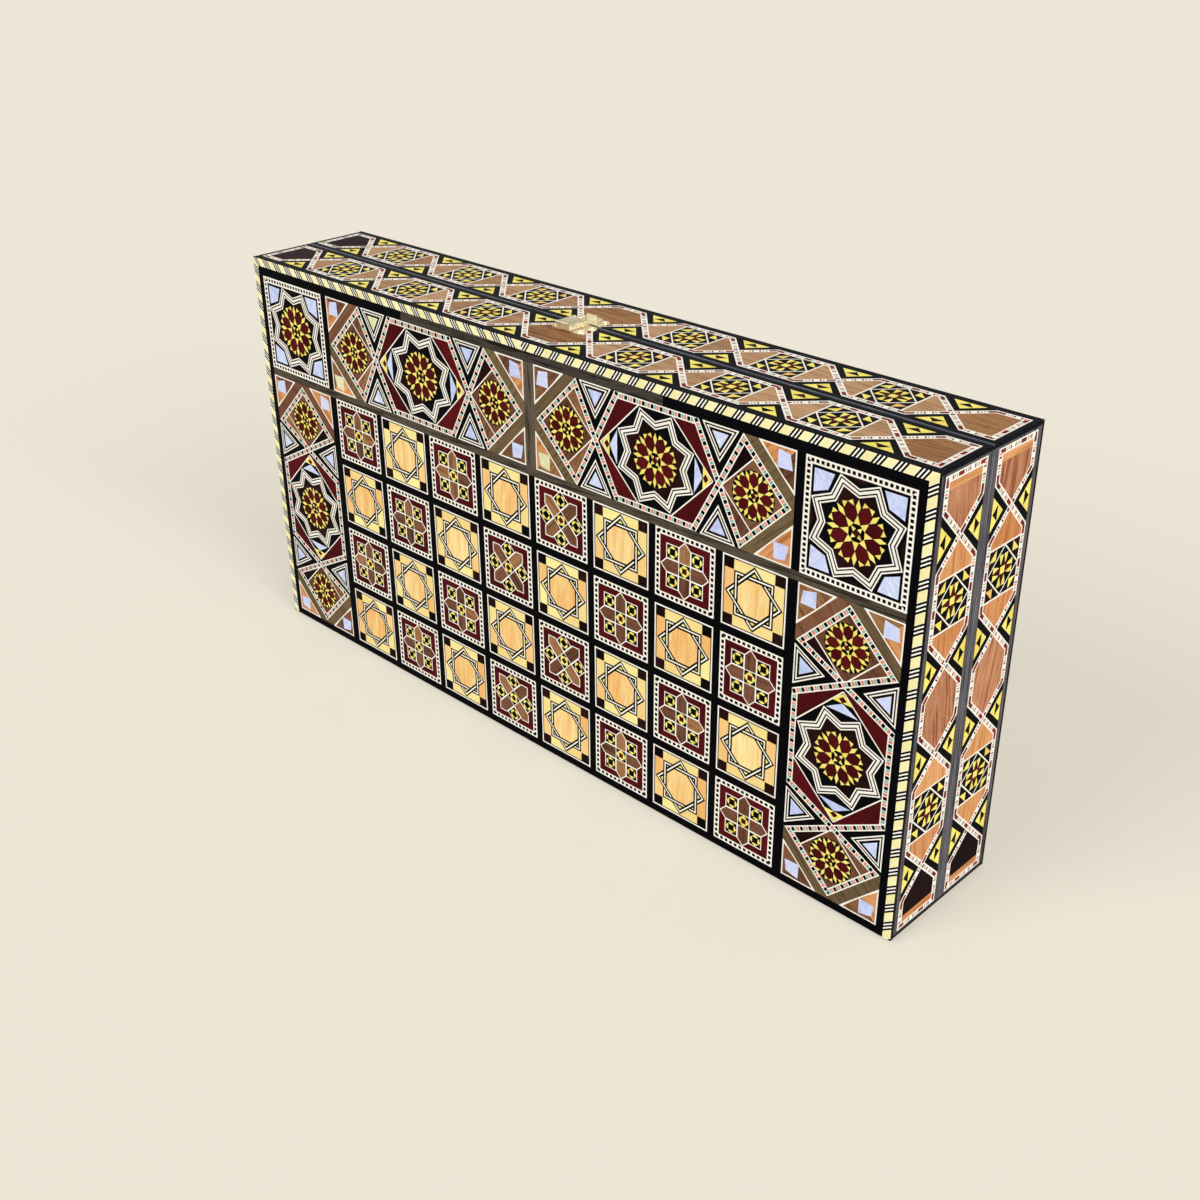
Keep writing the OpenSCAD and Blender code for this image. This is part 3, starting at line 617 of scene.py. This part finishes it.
def panelTile(length, width):
    # long panel: a hexagon with a star in the middle and a square kite at each end
    half, side = length / 2, width / 2
    sheet = Veneer(rectangle(-half, -side, half, side), "ebony")
    crossing, slope, band, white = panel["crossing"], panel["slope"], panel["band"], panel["line"]
    centre, reach, vertex = half - panel["setback"], panel["kite"], half - panel["vertex"]
    # inside of the kites: two triangles, the square and its rosette
    for quarter in sheet.quarters():
        inside = [(half - 4, 0), (half - 29.4, side), (crossing, 0)]
        sheet.lay(("umber", "walnut", "nutwood"), inside, 60)
    for flip in (False, True):
        sheet.at(0, 0, 0, 1, flip)
        kite = [(centre + reach, 0), (centre, reach), (centre - reach, 0), (centre, -reach)]
        sheet.lay("bone", inset(kite, -0.7))
        sheet.lay("nutwood", kite, 45)
        sheet.lay("ebony", [Vector((centre, 0)) + Vector(polar(12.9, 22.5 * k)) for k in range(16)])
        rosette(sheet, -centre if flip else centre, 0, 0, 0.79)
    # black triangles above and below the crossings
    wide = panel["triangle"]
    for quarter in sheet.quarters():
        triangle = [(crossing - wide, side), (crossing, side - reach), (crossing + wide, side)]
        sheet.border(triangle, 0, stringings["triangle"])
        sheet.lay(("umber", "ebony"), inset(triangle, 2.25))
        sheet.lay(pearls, inset(triangle, 3.55), 50)
    # the hexagon
    for end in sheet.turned(2):
        sheet.bar((-27, side - band / 2), (27, side - band / 2), stringings["panel"])
    for quarter in sheet.quarters():
        sheet.lay("maroon", [(12.2, side - band), (25.5, side - band), (37.8, 2.4), (37.8, 0)], 60)
        sheet.bar((11.3, 26.2), (37.5, 0), white)
    for end in sheet.turned(2):
        sheet.lay(pearls, [(25.9, 9.2), (25.8, -9.5), (30.8, -0.4), (30.7, 0.6)], 60)
        sheet.lay("lemon", [(31.2, 6.6), (31.2, -6.6), (36.5, 0)], 90)
        sheet.lay("maroon", [(31.2, 0), (32.9, 2.4), (34.8, 0), (32.9, -2.4)])
    starField(sheet, 0.98, 0.91, 21.2)
    # the sloping bands cross between hexagon and kite
    run = (side + 0.4) / slope
    for quarter in sheet.quarters():
        sheet.bar((crossing + run, side + 0.4), (crossing - run, -side - 0.4), stringings["panel"])
    # corners of the panel and the outer bands of the kites
    inner = crossing - band / 2 / math.sin(math.atan(slope))
    height = (vertex - inner) / (1 + 1 / slope)
    for quarter in sheet.quarters():
        outer = [(half, 0), (half, side), (vertex - side, side), (vertex, 0)]
        sheet.lay(("olive", "olive", "nutwood"), outer, 45)
        sheet.lay("bone", [(half, side), (half - 22, side), (half, side - 22)])
        middle = (half - 11, side - 11)
        sheet.lay(endWoods, [(half - 0.8, side - 0.8), (half - 20, side - 0.8), middle], 45)
        sheet.lay(endWoods, [(half - 0.8, side - 0.8), middle, (half - 0.8, side - 20)], 45)
        sheet.bar((half - 22, side), (half, side - 22), white)
        sheet.lay(pearls, [(half - 1.9, side - 10.7), (half - 10.8, side - 10.9),
                           (half - 10.5, side - 1.9), (half - 3.6, side - 2.9)])
    rim = [(vertex, 0), (vertex - height, height), (inner, 0), (vertex - height, -height)]
    for end in sheet.turned(2):
        sheet.border(rim, 0, stringings["panel"], [0, 3])
    return sheet


# An edge board is laid about the middle of its cells. The cells run from crossing to crossing of
# the strings, from the left or the upper end. A painted highlight line of the given width runs along its
# seam edge.
edge = {"band": 33, "width": 40.3, "middle": 21.5, "string": 3.5, "worn": 0.7, "margin": 3.2,
        "square": 13, "longCells": [35.2, 63.5, 63.5, 63.5, 48.5, 63.5, 63.5, 63.5, 35.2],
        "endCells": [35.2, 65.55, 48.5, 65.55, 35.2]}


def starCell(sheet, middle, length, woods):
    # pale triangles round a square with yellow petals
    far, high = length / 2, 13.2
    for k in sheet.turned(2, middle):
        sheet.lay(woods, [(12, high), (12, -high), (far - 14, -high), (far, 0), (far - 14, high)], 4)
    half = edge["square"]
    sheet.at(middle, 0)
    sheet.lay("bone", rectangle(-half - 1, -half, half + 1, half))
    sheet.lay("umber", around(half))
    corner = half - 5.8
    for k in sheet.turned(4, middle):
        sheet.lay("ebony" if k % 2 else "umber", [(half, half), (0, half), (0, 0)])
        sheet.lay("umber" if k % 2 else "ebony", [(half, half), (0, 0), (half, 0)])
        sheet.lay("umber", [(half, half), (corner, half), (half, corner)], 45)
        pale = [(corner, half - 0.2), (corner, corner), (half - 0.2, corner)]
        sheet.lay(("lemon",) * 5 + ("amber",), pale, 45)
    sheet.at(middle, 0)
    sheet.lay("bone", [polar(half + 0.5, 90 * k) for k in range(4)])
    sheet.lay("ebony", [polar(half - 0.6, 90 * k) for k in range(4)])
    for k in sheet.turned(4, middle):
        sheet.lay("maroon", [(1.5, -2.2), (8.5, 0), (1.5, 2.2)])
        for up in (1, -1):
            sheet.lay("lemon", [(3.0, 1.9 * up), (8.3, 0.35 * up), (8.5, 3.7 * up), (4.9, 2.8 * up)])
    sheet.at(middle, 0)
    sheet.lay("lemon", around(1.95))


def edgeStrip(length, reach, cells, woods, ground, upright):
    # one edge board: end cells, star cells and plain cells between crossing strings. length is
    # that of the whole edge, reach that of the board itself.
    half, band, start = length / 2, edge["band"] / 2, box["skin"] - edge["middle"]
    seam = edge["width"] + box["skin"] - edge["middle"]
    sheet = Veneer(rectangle(-reach / 2, start, reach / 2, seam), ground)
    # a pale grey line along the seam edge of every board: a painted highlight for the light its rounded
    # edge catches
    sheet.lay("worn", rectangle(-reach / 2, seam - edge["worn"], reach / 2, seam))
    point = edge["string"] / 2 * math.sqrt(2)
    crossings = []
    place = -half
    for step in cells[:-1]:
        place += step
        crossings.append(place)
    for c in crossings:
        for k in sheet.turned(2, c):
            sheet.lay("ebony", [(-band - 1.5, band), (0, 0), (band + 1.5, band)])
            sheet.lay("lemon", [(-8.8, band - 0.2), (0, band - 9.6), (0, band - 0.2)], 30)
            sheet.lay("lemon", [(0, band - 0.2), (0, band - 9.6), (8.8, band - 0.2)], 60)
            sheet.lay("umber", [(-0.15, band - 2), (0.15, band - 2), (0.15, band), (-0.15, band)])
            tooth = [(-4.1, band - 5.0), (4.1, band - 5.0), (0, band - 0.9)]
            sheet.lay(("ebony", "umber", "umber"), tooth)
            sheet.lay("lemon", [(-4.2, band - 5.1), (0, band - 9.6), (4.2, band - 5.1)], 10)
    first, last = -half + edge["margin"], half - edge["margin"]
    ends = [(first, crossings[0])] + list(zip(crossings, crossings[1:])) + [(crossings[-1], last)]
    for k, (start, end) in enumerate(ends):
        sheet.at()
        low, high = start - point, end + point
        if k == 0:
            outline = [(start, -band), (high - band, -band), (high, 0), (high - band, band),
                       (start, band)]
        elif k == len(ends) - 1:
            outline = [(end, -band), (end, band), (low + band, band), (low, 0), (low + band, -band)]
        else:
            outline = [(low, 0), (low + band, -band), (high - band, -band), (high, 0),
                       (high - band, band), (low + band, band)]
        sheet.lay(woods[k], outline, 5 if upright else 0)
        if cells[k] > 50:
            starCell(sheet, (start + end) / 2, end - start, woods[k])
        sheet.at()
        if upright and k in (0, len(ends) - 1):
            near = end - 7.4 if k else start + 3.4
            sheet.lay("orange", rectangle(near, -13, near + 4, 13), 90)
        sheet.border(outline, 0, stringings["edge"])
    for c in crossings:
        sheet.at(c, 0)
        sheet.bar((-4.2, 4.2), (4.2, -4.2), stringings["edge"])
    return sheet


stripes = {"period": 11.1, "block": 5.5, "line": 1.2, "gap": 0.9, "run": 3.2}


def bandStrip(outline, leans):
    # the striped band round a face; leans is the way of the slant in its first and second half
    length, width = max(p[0] for p in outline), face["edgeBand"]
    sheet = Veneer(outline, "bone", 90)
    period, block, line, gap, run = stripes.values()
    place = -period
    while place < length + period:
        slant = run * (leans[0] if place < length / 2 else leans[1])
        spans = [("cream", 0, block)] + [("ebony", block + (line + gap) * k, line) for k in range(3)]
        for wood, start, wide in spans:
            low = place + start - slant / 2
            sheet.lay(wood, [(low, -0.1), (low + wide, -0.1), (low + wide + slant, width + 0.1),
                             (low + slant, width + 0.1)], 90)
        place += period
    return sheet


def tilePlaces():
    # centre, size and kind of every tile of a face, in face coordinates
    places = []
    for column in range(face["columns"]):
        for row in range(face["rows"]):
            x = boardLeft + tileWidth / 2 + column * columnPitch
            y = boardTop - tileHeight / 2 - row * rowPitch
            dark = "saltire" if (column, row) in saltires else "cross"
            kind = "light" if (column + row) % 2 else dark
            places.append((kind, x, y, tileWidth, tileHeight, 0))
    corner = face["corner"]
    across = halfLength - face["sideMargin"] - corner / 2
    upper = box["height"] - face["topMargin"] - corner / 2
    middle = face["divider"] / 2 + topPanelLength / 2
    side = halfLength - face["sideMargin"] - face["sidePanel"] / 2
    for way in (-1, 1):
        places.append(("corner", halfLength + way * across, upper, corner, corner, 0))
        places.append(("top", halfLength + way * middle, upper, topPanelLength, corner, 0))
        places.append(("side", halfLength + way * side, boardTop - fieldHeight / 2,
                       face["sidePanel"], fieldHeight, 90))
    return places


# Strips of the ground: half the width of the upright ones, and how far the patch of painted reflection
# on the top strip reaches
strips = {"half": 4, "reflectionPatchLeft": 105, "reflectionPatchRight": 95}


def groundSheet():
    # black strips between the tiles; those under and between the panels are painted brown with streaks,
    # a painted reflection on the black ground
    length, height, gap = box["length"], box["height"], face["panelGap"]
    sheet = Veneer(rectangle(0, 0, length, height), "ebony")
    left, right, top = face["sideMargin"], length - face["sideMargin"], height - face["topMargin"]
    sheet.lay("ebony", [(0, height), (left, top), (right, top), (length, height)])
    sheet.lay("ebony", [(0, 0), (left, 0), (left, top), (0, height)], 90)
    sheet.lay("ebony", [(length, 0), (length, height), (right, top), (right, 0)], 90)
    # the strip under the upper panels and the middle strip between them: painted reflection, brown with
    # streaks
    sheet.lay("fumed", rectangle(left, boardTop, right, boardTop + gap))
    half, band = strips["half"], face["edgeBand"]
    for x, wood in ((halfLength, "fumed"), (left + face["corner"] + gap / 2, "ebony"),
                    (right - face["corner"] - gap / 2, "ebony")):
        sheet.lay(wood, rectangle(x - half, boardTop + gap, x + half, top), 90)
    # a patch of painted reflection, brown with streaks, on the black top strip
    bog = halfLength - strips["reflectionPatchLeft"], halfLength + strips["reflectionPatchRight"]
    sheet.lay("bog", rectangle(bog[0], top, bog[1], height - band))
    for kind, x, y, wide, high, turn in tilePlaces():
        sheet.at(x, y).cutAway(rectangle(-wide / 2, -high / 2, wide / 2, high / 2))
    sheet.at()
    far, up = length - band, height - band
    sheet.cutAway([(0, height), (band, up), (far, up), (length, height)])
    sheet.cutAway([(0, 0), (band, 0), (band, up), (0, height)])
    sheet.cutAway([(far, 0), (length, 0), (length, height), (far, up)])
    sheet.holed = True
    return sheet


def plate(sheet, rim="ebony", rounded=None):
    # gives a sheet its thickness and a back; rounded picks the edges that are eased, which are
    # the box's own
    plain = sheet.mesh
    bmesh.ops.remove_doubles(plain, verts=plain.verts, dist=0.002)
    if sheet.holed:
        bmesh.ops.solidify(plain, geom=list(plain.faces), thickness=box["skin"])
    else:
        edges = [e for e in plain.edges if e.is_boundary]
        grown = bmesh.ops.extrude_edge_only(plain, edges=edges)["geom"]
        low = [g for g in grown if isinstance(g, bmesh.types.BMVert)]
        bmesh.ops.translate(plain, verts=low, vec=(0, 0, -box["skin"]))
        mark = sheet.enter(rim, 0)
        for wall in grown:
            if isinstance(wall, bmesh.types.BMFace):
                wall[sheet.mark] = mark
        loop = [g for g in grown if isinstance(g, bmesh.types.BMEdge) and g.is_boundary]
        bmesh.ops.edgeloop_fill(plain, edges=loop)
    bmesh.ops.recalc_face_normals(plain, faces=plain.faces)
    if rounded:
        chosen = [e for e in edges if all(rounded(v.co) for v in e.verts)]
        bmesh.ops.bevel(plain, geom=chosen, offset=box["ease"], segments=2, profile=0.5,
                        affect="EDGES", material=-1)
    mesh = bpy.data.meshes.new("sheet")
    plain.to_mesh(mesh)
    plain.free()
    return mesh


def read(items, name, kind=int, width=1):
    # one property of every item, as one flat array
    values = np.zeros(len(items) * width, kind)
    items.foreach_get(name, values)
    return values


# How far the grain of a piece may lean, in degrees, and how far apart pieces are cut in the wood
cutting = {"lean": 4, "spread": 60}


class Layer:
    # sheets of one kind on one shell: every copy gets woods, tints and figure of its own
    def __init__(self, name, body, slot, nodes):
        self.mesh = bmesh.new()
        self.name, self.body, self.slot, self.nodes = name, body, slot, nodes

    def stamp(self, name, matrix):
        # one more copy of a sheet, with its grain as a UV map in units of 100 mm
        sheet, copy = sheets[name], plates[name].copy()
        marks = read(copy.attributes["piece"].data, "value")
        woods = [woodNames.index(wood if isinstance(wood, str) else dice.choice(wood))
                 for wood, grain in sheet.pieces]
        copy.polygons.foreach_set("material_index", np.array(woods)[marks])
        tints = np.array([dice.random() for piece in sheet.pieces])
        copy.attributes.new("tint", "FLOAT", "FACE").data.foreach_set("value", tints[marks])
        lean, spread = cutting["lean"], cutting["spread"]
        turns = np.radians([grain + dice.uniform(-lean, lean) for wood, grain in sheet.pieces])
        shifts = np.array([[dice.uniform(0, spread), dice.uniform(0, spread)] for piece in sheet.pieces])
        points = read(copy.vertices, "co", float, 3).reshape(-1, 3)
        points = points[read(copy.loops, "vertex_index")] / 100
        owner = np.repeat(marks, read(copy.polygons, "loop_total"))
        turn, shift = turns[owner], shifts[owner]
        along = points[:, 0] * np.cos(turn) + points[:, 1] * np.sin(turn)
        across = points[:, 1] * np.cos(turn) - points[:, 0] * np.sin(turn)
        spots = np.stack([along, across], 1) + shift
        copy.uv_layers.new(name="grain").data.foreach_set("uv", spots.ravel())
        copy.transform(matrix)
        self.mesh.from_mesh(copy)
        bpy.data.meshes.remove(copy)

    def done(self):
        bmesh.ops.recalc_face_normals(self.mesh, faces=self.mesh.faces)
        mesh = bpy.data.meshes.new(self.name)
        self.mesh.to_mesh(mesh)
        self.mesh.free()
        used = read(mesh.polygons, "material_index")
        kinds = sorted(set(used.tolist()))
        for kind in kinds:
            mesh.materials.append(finishes[woodNames[kind]])
        mesh.polygons.foreach_set("material_index", np.searchsorted(kinds, used))
        mesh.update()
        piece = bpy.data.objects.new(self.name, mesh)
        bpy.context.scene.collection.objects.link(piece)
        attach(piece, self.body)
        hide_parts(*self.nodes)
        print(self.name, len(mesh.polygons), "faces")


saltires = [(4, 0), (3, 1), (4, 2), (3, 3)]
sheets = {
    "cross": darkTile(False), "saltire": darkTile(True), "light": lightTile(), "corner": cornerTile(),
    "top": panelTile(topPanelLength, face["corner"]),
    "side": panelTile(fieldHeight, face["sidePanel"]),
}
print("tile sheets cut")
topWoods = ["umber", "tan", "tan", "tan", "walnut", "tan", "tan", "tan", "walnut"]
sideWoods = ["rose", "orange", "rose", "orange", "umber"]
sheets["topEdge"] = edgeStrip(box["length"], box["length"], edge["longCells"], topWoods, "slate", False)
sheets["hingeEdge"] = sheets["topEdge"].twin()
hinge = {"offset": 150, "halfLength": 25.3, "from": 19.2, "to": 22}
for x in (-hinge["offset"], hinge["offset"]):
    pocket = rectangle(-hinge["halfLength"], hinge["from"], hinge["halfLength"], hinge["to"])
    sheets["hingeEdge"].at(x, 0).cutAway(pocket)
length, height, width = box["length"], box["height"], face["edgeBand"]
board = height - 2 * box["skin"]
sheets["endEdge"] = edgeStrip(height, board, edge["endCells"], sideWoods, "smoke", True)
sheets["topBand"] = bandStrip([(0, 0), (length, 0), (length - width, width), (width, width)], (1, -1))
sheets["leftBand"] = bandStrip([(0, 0), (height, 0), (height, width), (width, width)], (1, 1))
sheets["rightBand"] = bandStrip([(0, 0), (height, 0), (height - width, width), (0, width)], (-1, -1))
sheets["ground"] = groundSheet()
print("edge sheets cut")


def turnedTo(x, y, z, turn=0, axis="Z"):
    return Matrix.Translation((x, y, z)) @ Matrix.Rotation(math.radians(turn), 4, axis)


# a sheet on the face of the front shell: its x to the right, its y up, its face towards -Y
ontoFace = Matrix.Translation((0, -halfDepth, box["base"])) @ Matrix.Rotation(math.pi / 2, 4, "X")
edgeY = edge["middle"] - halfDepth
middleZ = box["base"] + box["height"] / 2
mirrored = Matrix.Diagonal((-1, 1, 1, 1))
onEdges = {
    "topEdge": [Matrix.Translation((0, edgeY, box["base"] + box["height"]))],
    "hingeEdge": [turnedTo(0, edgeY, box["base"], 180, "Y")],
    "endEdge": [turnedTo(halfLength, edgeY, middleZ, 90, "Y"),
                turnedTo(-halfLength, edgeY, middleZ, -90, "Y") @ mirrored],
}


def onOuterEdge(corner):
    return abs(corner.y) < 0.01


def onEnd(corner):
    return abs(abs(corner.x) - halfLength) < 0.01


roundings = {"topBand": onOuterEdge, "leftBand": onOuterEdge, "rightBand": onOuterEdge,
             "topEdge": onEnd, "hingeEdge": onEnd}
rims = {name: "slate" for name in [*roundings, "endEdge"]}
plates = {name: plate(sheet, rims.get(name, "ebony"), roundings.get(name))
          for name, sheet in sheets.items()}

for side, turnOver in (("front", 0), ("back", 180)):
    world = Matrix.Scale(mm, 4) @ Matrix.Rotation(math.radians(turnOver), 4, "Z")
    body = side + "_shell"

    def onFace(x, y, turn=0):
        return world @ ontoFace @ turnedTo(x - halfLength, y, 0, turn)

    def layer(name, slot, *kinds):
        return Layer(side + "_" + name, body, slot, [side + "_" + kind for kind in kinds])

    light = layer("light_tiles", "lemonwood", "light_squares", "light_octagons")
    dark = layer("dark_tiles", "rosewood", "dark_squares", "dark_crosses")
    corners = layer("corner_tiles", "ebony", "corner_squares")
    panels = layer("panels", "walnut", "border_panels", "star_inlays", "pearl_inlays")
    takers = {"light": light, "cross": dark, "saltire": dark, "corner": corners,
              "top": panels, "side": panels}
    for kind, x, y, wide, high, turn in tilePlaces():
        takers[kind].stamp(kind, onFace(x, y, turn + dice.choice((0, 180))))
    ground = layer("ground", "ebony", "face_ground")
    ground.stamp("ground", onFace(0, 0))
    bands = layer("border_band", "bone", "edge_band")
    bands.stamp("topBand", onFace(box["length"], box["height"], 180))
    bands.stamp("leftBand", onFace(0, box["height"], -90))
    bands.stamp("rightBand", onFace(box["length"], 0, 90))
    edges = layer("edge_boards", "ebony", "long_edge_grounds", "end_edge_grounds", "edge_cells")
    for name, places in onEdges.items():
        for place in places:
            # the two shells of the box are glued up alike, so both have their dark ends together
            way = mirrored if side == "back" and name != "endEdge" else Matrix.Identity(4)
            edges.stamp(name, world @ place @ way)
    for each in (light, dark, corners, panels, ground, bands, edges):
        each.done()
print("veneers laid")


# Parts that keep the shape the CAD gives them
timber = {
    "beech": ("#d9b58a", "#b98c5e", 0.5, 0.5, 0.3, 0.3, 0),
    "rail": ("#7c5236", "#472a1c", 0.6, 0.6, 0.6, 0.5, 0),
    "field": ("#8a5c3a", "#56351f", 0.7, 0.5, 0.6, 0.5, 0),
    "palePoint": ("#f4e6a6", "#dfbc72", 0.5, 0.4, 0, 0.1, 0),
    "redPoint": ("#6d1f1f", "#421011", 0.5, 0.5, 0.3, 0.3, 0),
    "medallion": ("#f3cf86", "#cf8d49", 0.7, 0.4, 0, 0.1, 0),
}
keptLooks = {
    "core_board": ("beech", "X"), "playing_floor": ("field", "X"), "light_points": ("palePoint", "X"),
    "dark_points": ("redPoint", "X"), "medallion": ("medallion", "X"), "hinge_rail": ("rail", "X"),
    "top_rail": ("rail", "X"), "left_rail": ("rail", "Z"), "right_rail": ("rail", "Z"),
}
solidFinishes = {}
for kind, (look, grain) in keptLooks.items():
    key = look + "Along" + grain
    if key not in solidFinishes:
        solidFinishes[key] = woodFinish(key, timber[look], grain)
    for side in ("front_", "back_"):
        part = nodes[side + kind]
        part.data.materials.clear()
        part.data.materials.append(solidFinishes[key])

# Brass: lengths in metres, angles in degrees
metal = {"light": "#fff6d6", "dark": "#e9d08f", "roughness": 0.16, "join": 0.00001, "ease": 0.00018,
         "sharp": 30, "smooth": 25}
brass = brassFinish("brass", metal["light"], metal["dark"], metal["roughness"])
homes = {name: body for body, names in frame["record"]["behaviour"]["bodies"].items() for name in names}


def eased(name):
    # a brass part with its flat facets joined, its edges rounded and its curves shaded smooth
    shape = bmesh.new()
    shape.from_mesh(nodes[name].data)
    bmesh.ops.remove_doubles(shape, verts=shape.verts, dist=metal["join"])
    bmesh.ops.dissolve_limit(shape, angle_limit=math.radians(1), verts=shape.verts, edges=shape.edges)
    sharp = [e for e in shape.edges if len(e.link_faces) == 2
             and e.calc_face_angle(0) > math.radians(metal["sharp"])]
    bmesh.ops.bevel(shape, geom=sharp, offset=metal["ease"], segments=2, profile=0.5, affect="EDGES",
                    clamp_overlap=True, material=-1)
    bmesh.ops.recalc_face_normals(shape, faces=shape.faces)
    mesh = bpy.data.meshes.new(name + "_bright")
    shape.to_mesh(mesh)
    shape.free()
    mesh.materials.append(brass)
    mesh.shade_smooth()
    mesh.set_sharp_from_angle(angle=math.radians(metal["smooth"]))
    piece = bpy.data.objects.new(name + "_bright", mesh)
    scene.collection.objects.link(piece)
    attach(piece, homes[name])
    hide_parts(name)


scene = bpy.context.scene
for name in nodes:
    if any(word in name for word in ("hinge_leaves", "hinge_pins", "hinge_screws", "latch", "catch")):
        eased(name)
print("kept parts finished")


studio = {
    "floor": "#eee7d7", "floorSize": 40, "azimuth": 44.681, "elevation": 28.055, "distance": 866.24,
    "target": (9.19, 0, 87.63), "lens": 44.46, "sensor": 36, "roll": -0.577, "glow": 0.505,
    "ambient": 0.42,
}

bpy.ops.mesh.primitive_plane_add(size=studio["floorSize"], location=(0, 0, 0))
floor = bpy.context.object
floor.name = "floor"
paper = Finish("paper", Roughness=0.9, Specular_IOR_Level=0.05)
grit = paper.noise(paper.node("TexCoord", {}, {}, 3), 3, 3)
paper.feed("Base_Color", paper.blend(0.1 * grit, colour("#a9a499"), colour("#a29e93")))
# the camera sees the paper evenly pale, with the box's soft shadow still on it
seen = paper.node("LightPath", {}, {})
paper.feed("Emission_Color", paper.blend(seen, (0, 0, 0, 1), colour(studio["floor"])))
paper.feed("Emission_Strength", studio["glow"])
floor.data.materials.append(paper.material)
floor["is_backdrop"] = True

scene.view_settings.view_transform = "Standard"
scene.world = bpy.data.worlds.new("studio")
scene.world.use_nodes = True
ambient = scene.world.node_tree.nodes["Background"]
ambient.inputs["Color"].default_value = (1, 0.99, 0.97, 1)
ambient.inputs["Strength"].default_value = studio["ambient"]


def lamp(name, strength, softness, azimuth, elevation):
    # a distant lamp with a wide disc, so its shadows are soft and the floor is lit evenly
    data = bpy.data.lights.new(name, "SUN")
    data.energy, data.angle = strength, math.radians(softness)
    made = bpy.data.objects.new(name, data)
    scene.collection.objects.link(made)
    made.rotation_euler = (math.radians(90 - elevation), 0, math.radians(azimuth))
    made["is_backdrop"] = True


lamp("key", strength=1.85, softness=35, azimuth=-18, elevation=32)
lamp("side", strength=2.55, softness=35, azimuth=78, elevation=24)

turn, tilt = math.radians(studio["azimuth"]), math.radians(studio["elevation"])
away = Vector((math.sin(turn) * math.cos(tilt), -math.cos(turn) * math.cos(tilt), math.sin(tilt)))
right = Vector((0, 0, 1)).cross(away).normalized()
up = away.cross(right)
roll = math.radians(studio["roll"])
right, up = (math.cos(roll) * right + math.sin(roll) * up,
             math.cos(roll) * up - math.sin(roll) * right)
lensData = bpy.data.cameras.new("camera")
lensData.lens, lensData.sensor_width = studio["lens"], studio["sensor"]
camera = bpy.data.objects.new("camera", lensData)
scene.collection.objects.link(camera)
stand = (Vector(studio["target"]) + away * studio["distance"]) * mm
camera.matrix_world = Matrix.Translation(stand) @ Matrix((right, up, away)).transposed().to_4x4()
scene.camera = camera

low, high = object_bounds()
{"cad": [list(p) for p in cadBounds], "visual": [list(low), list(high)]}
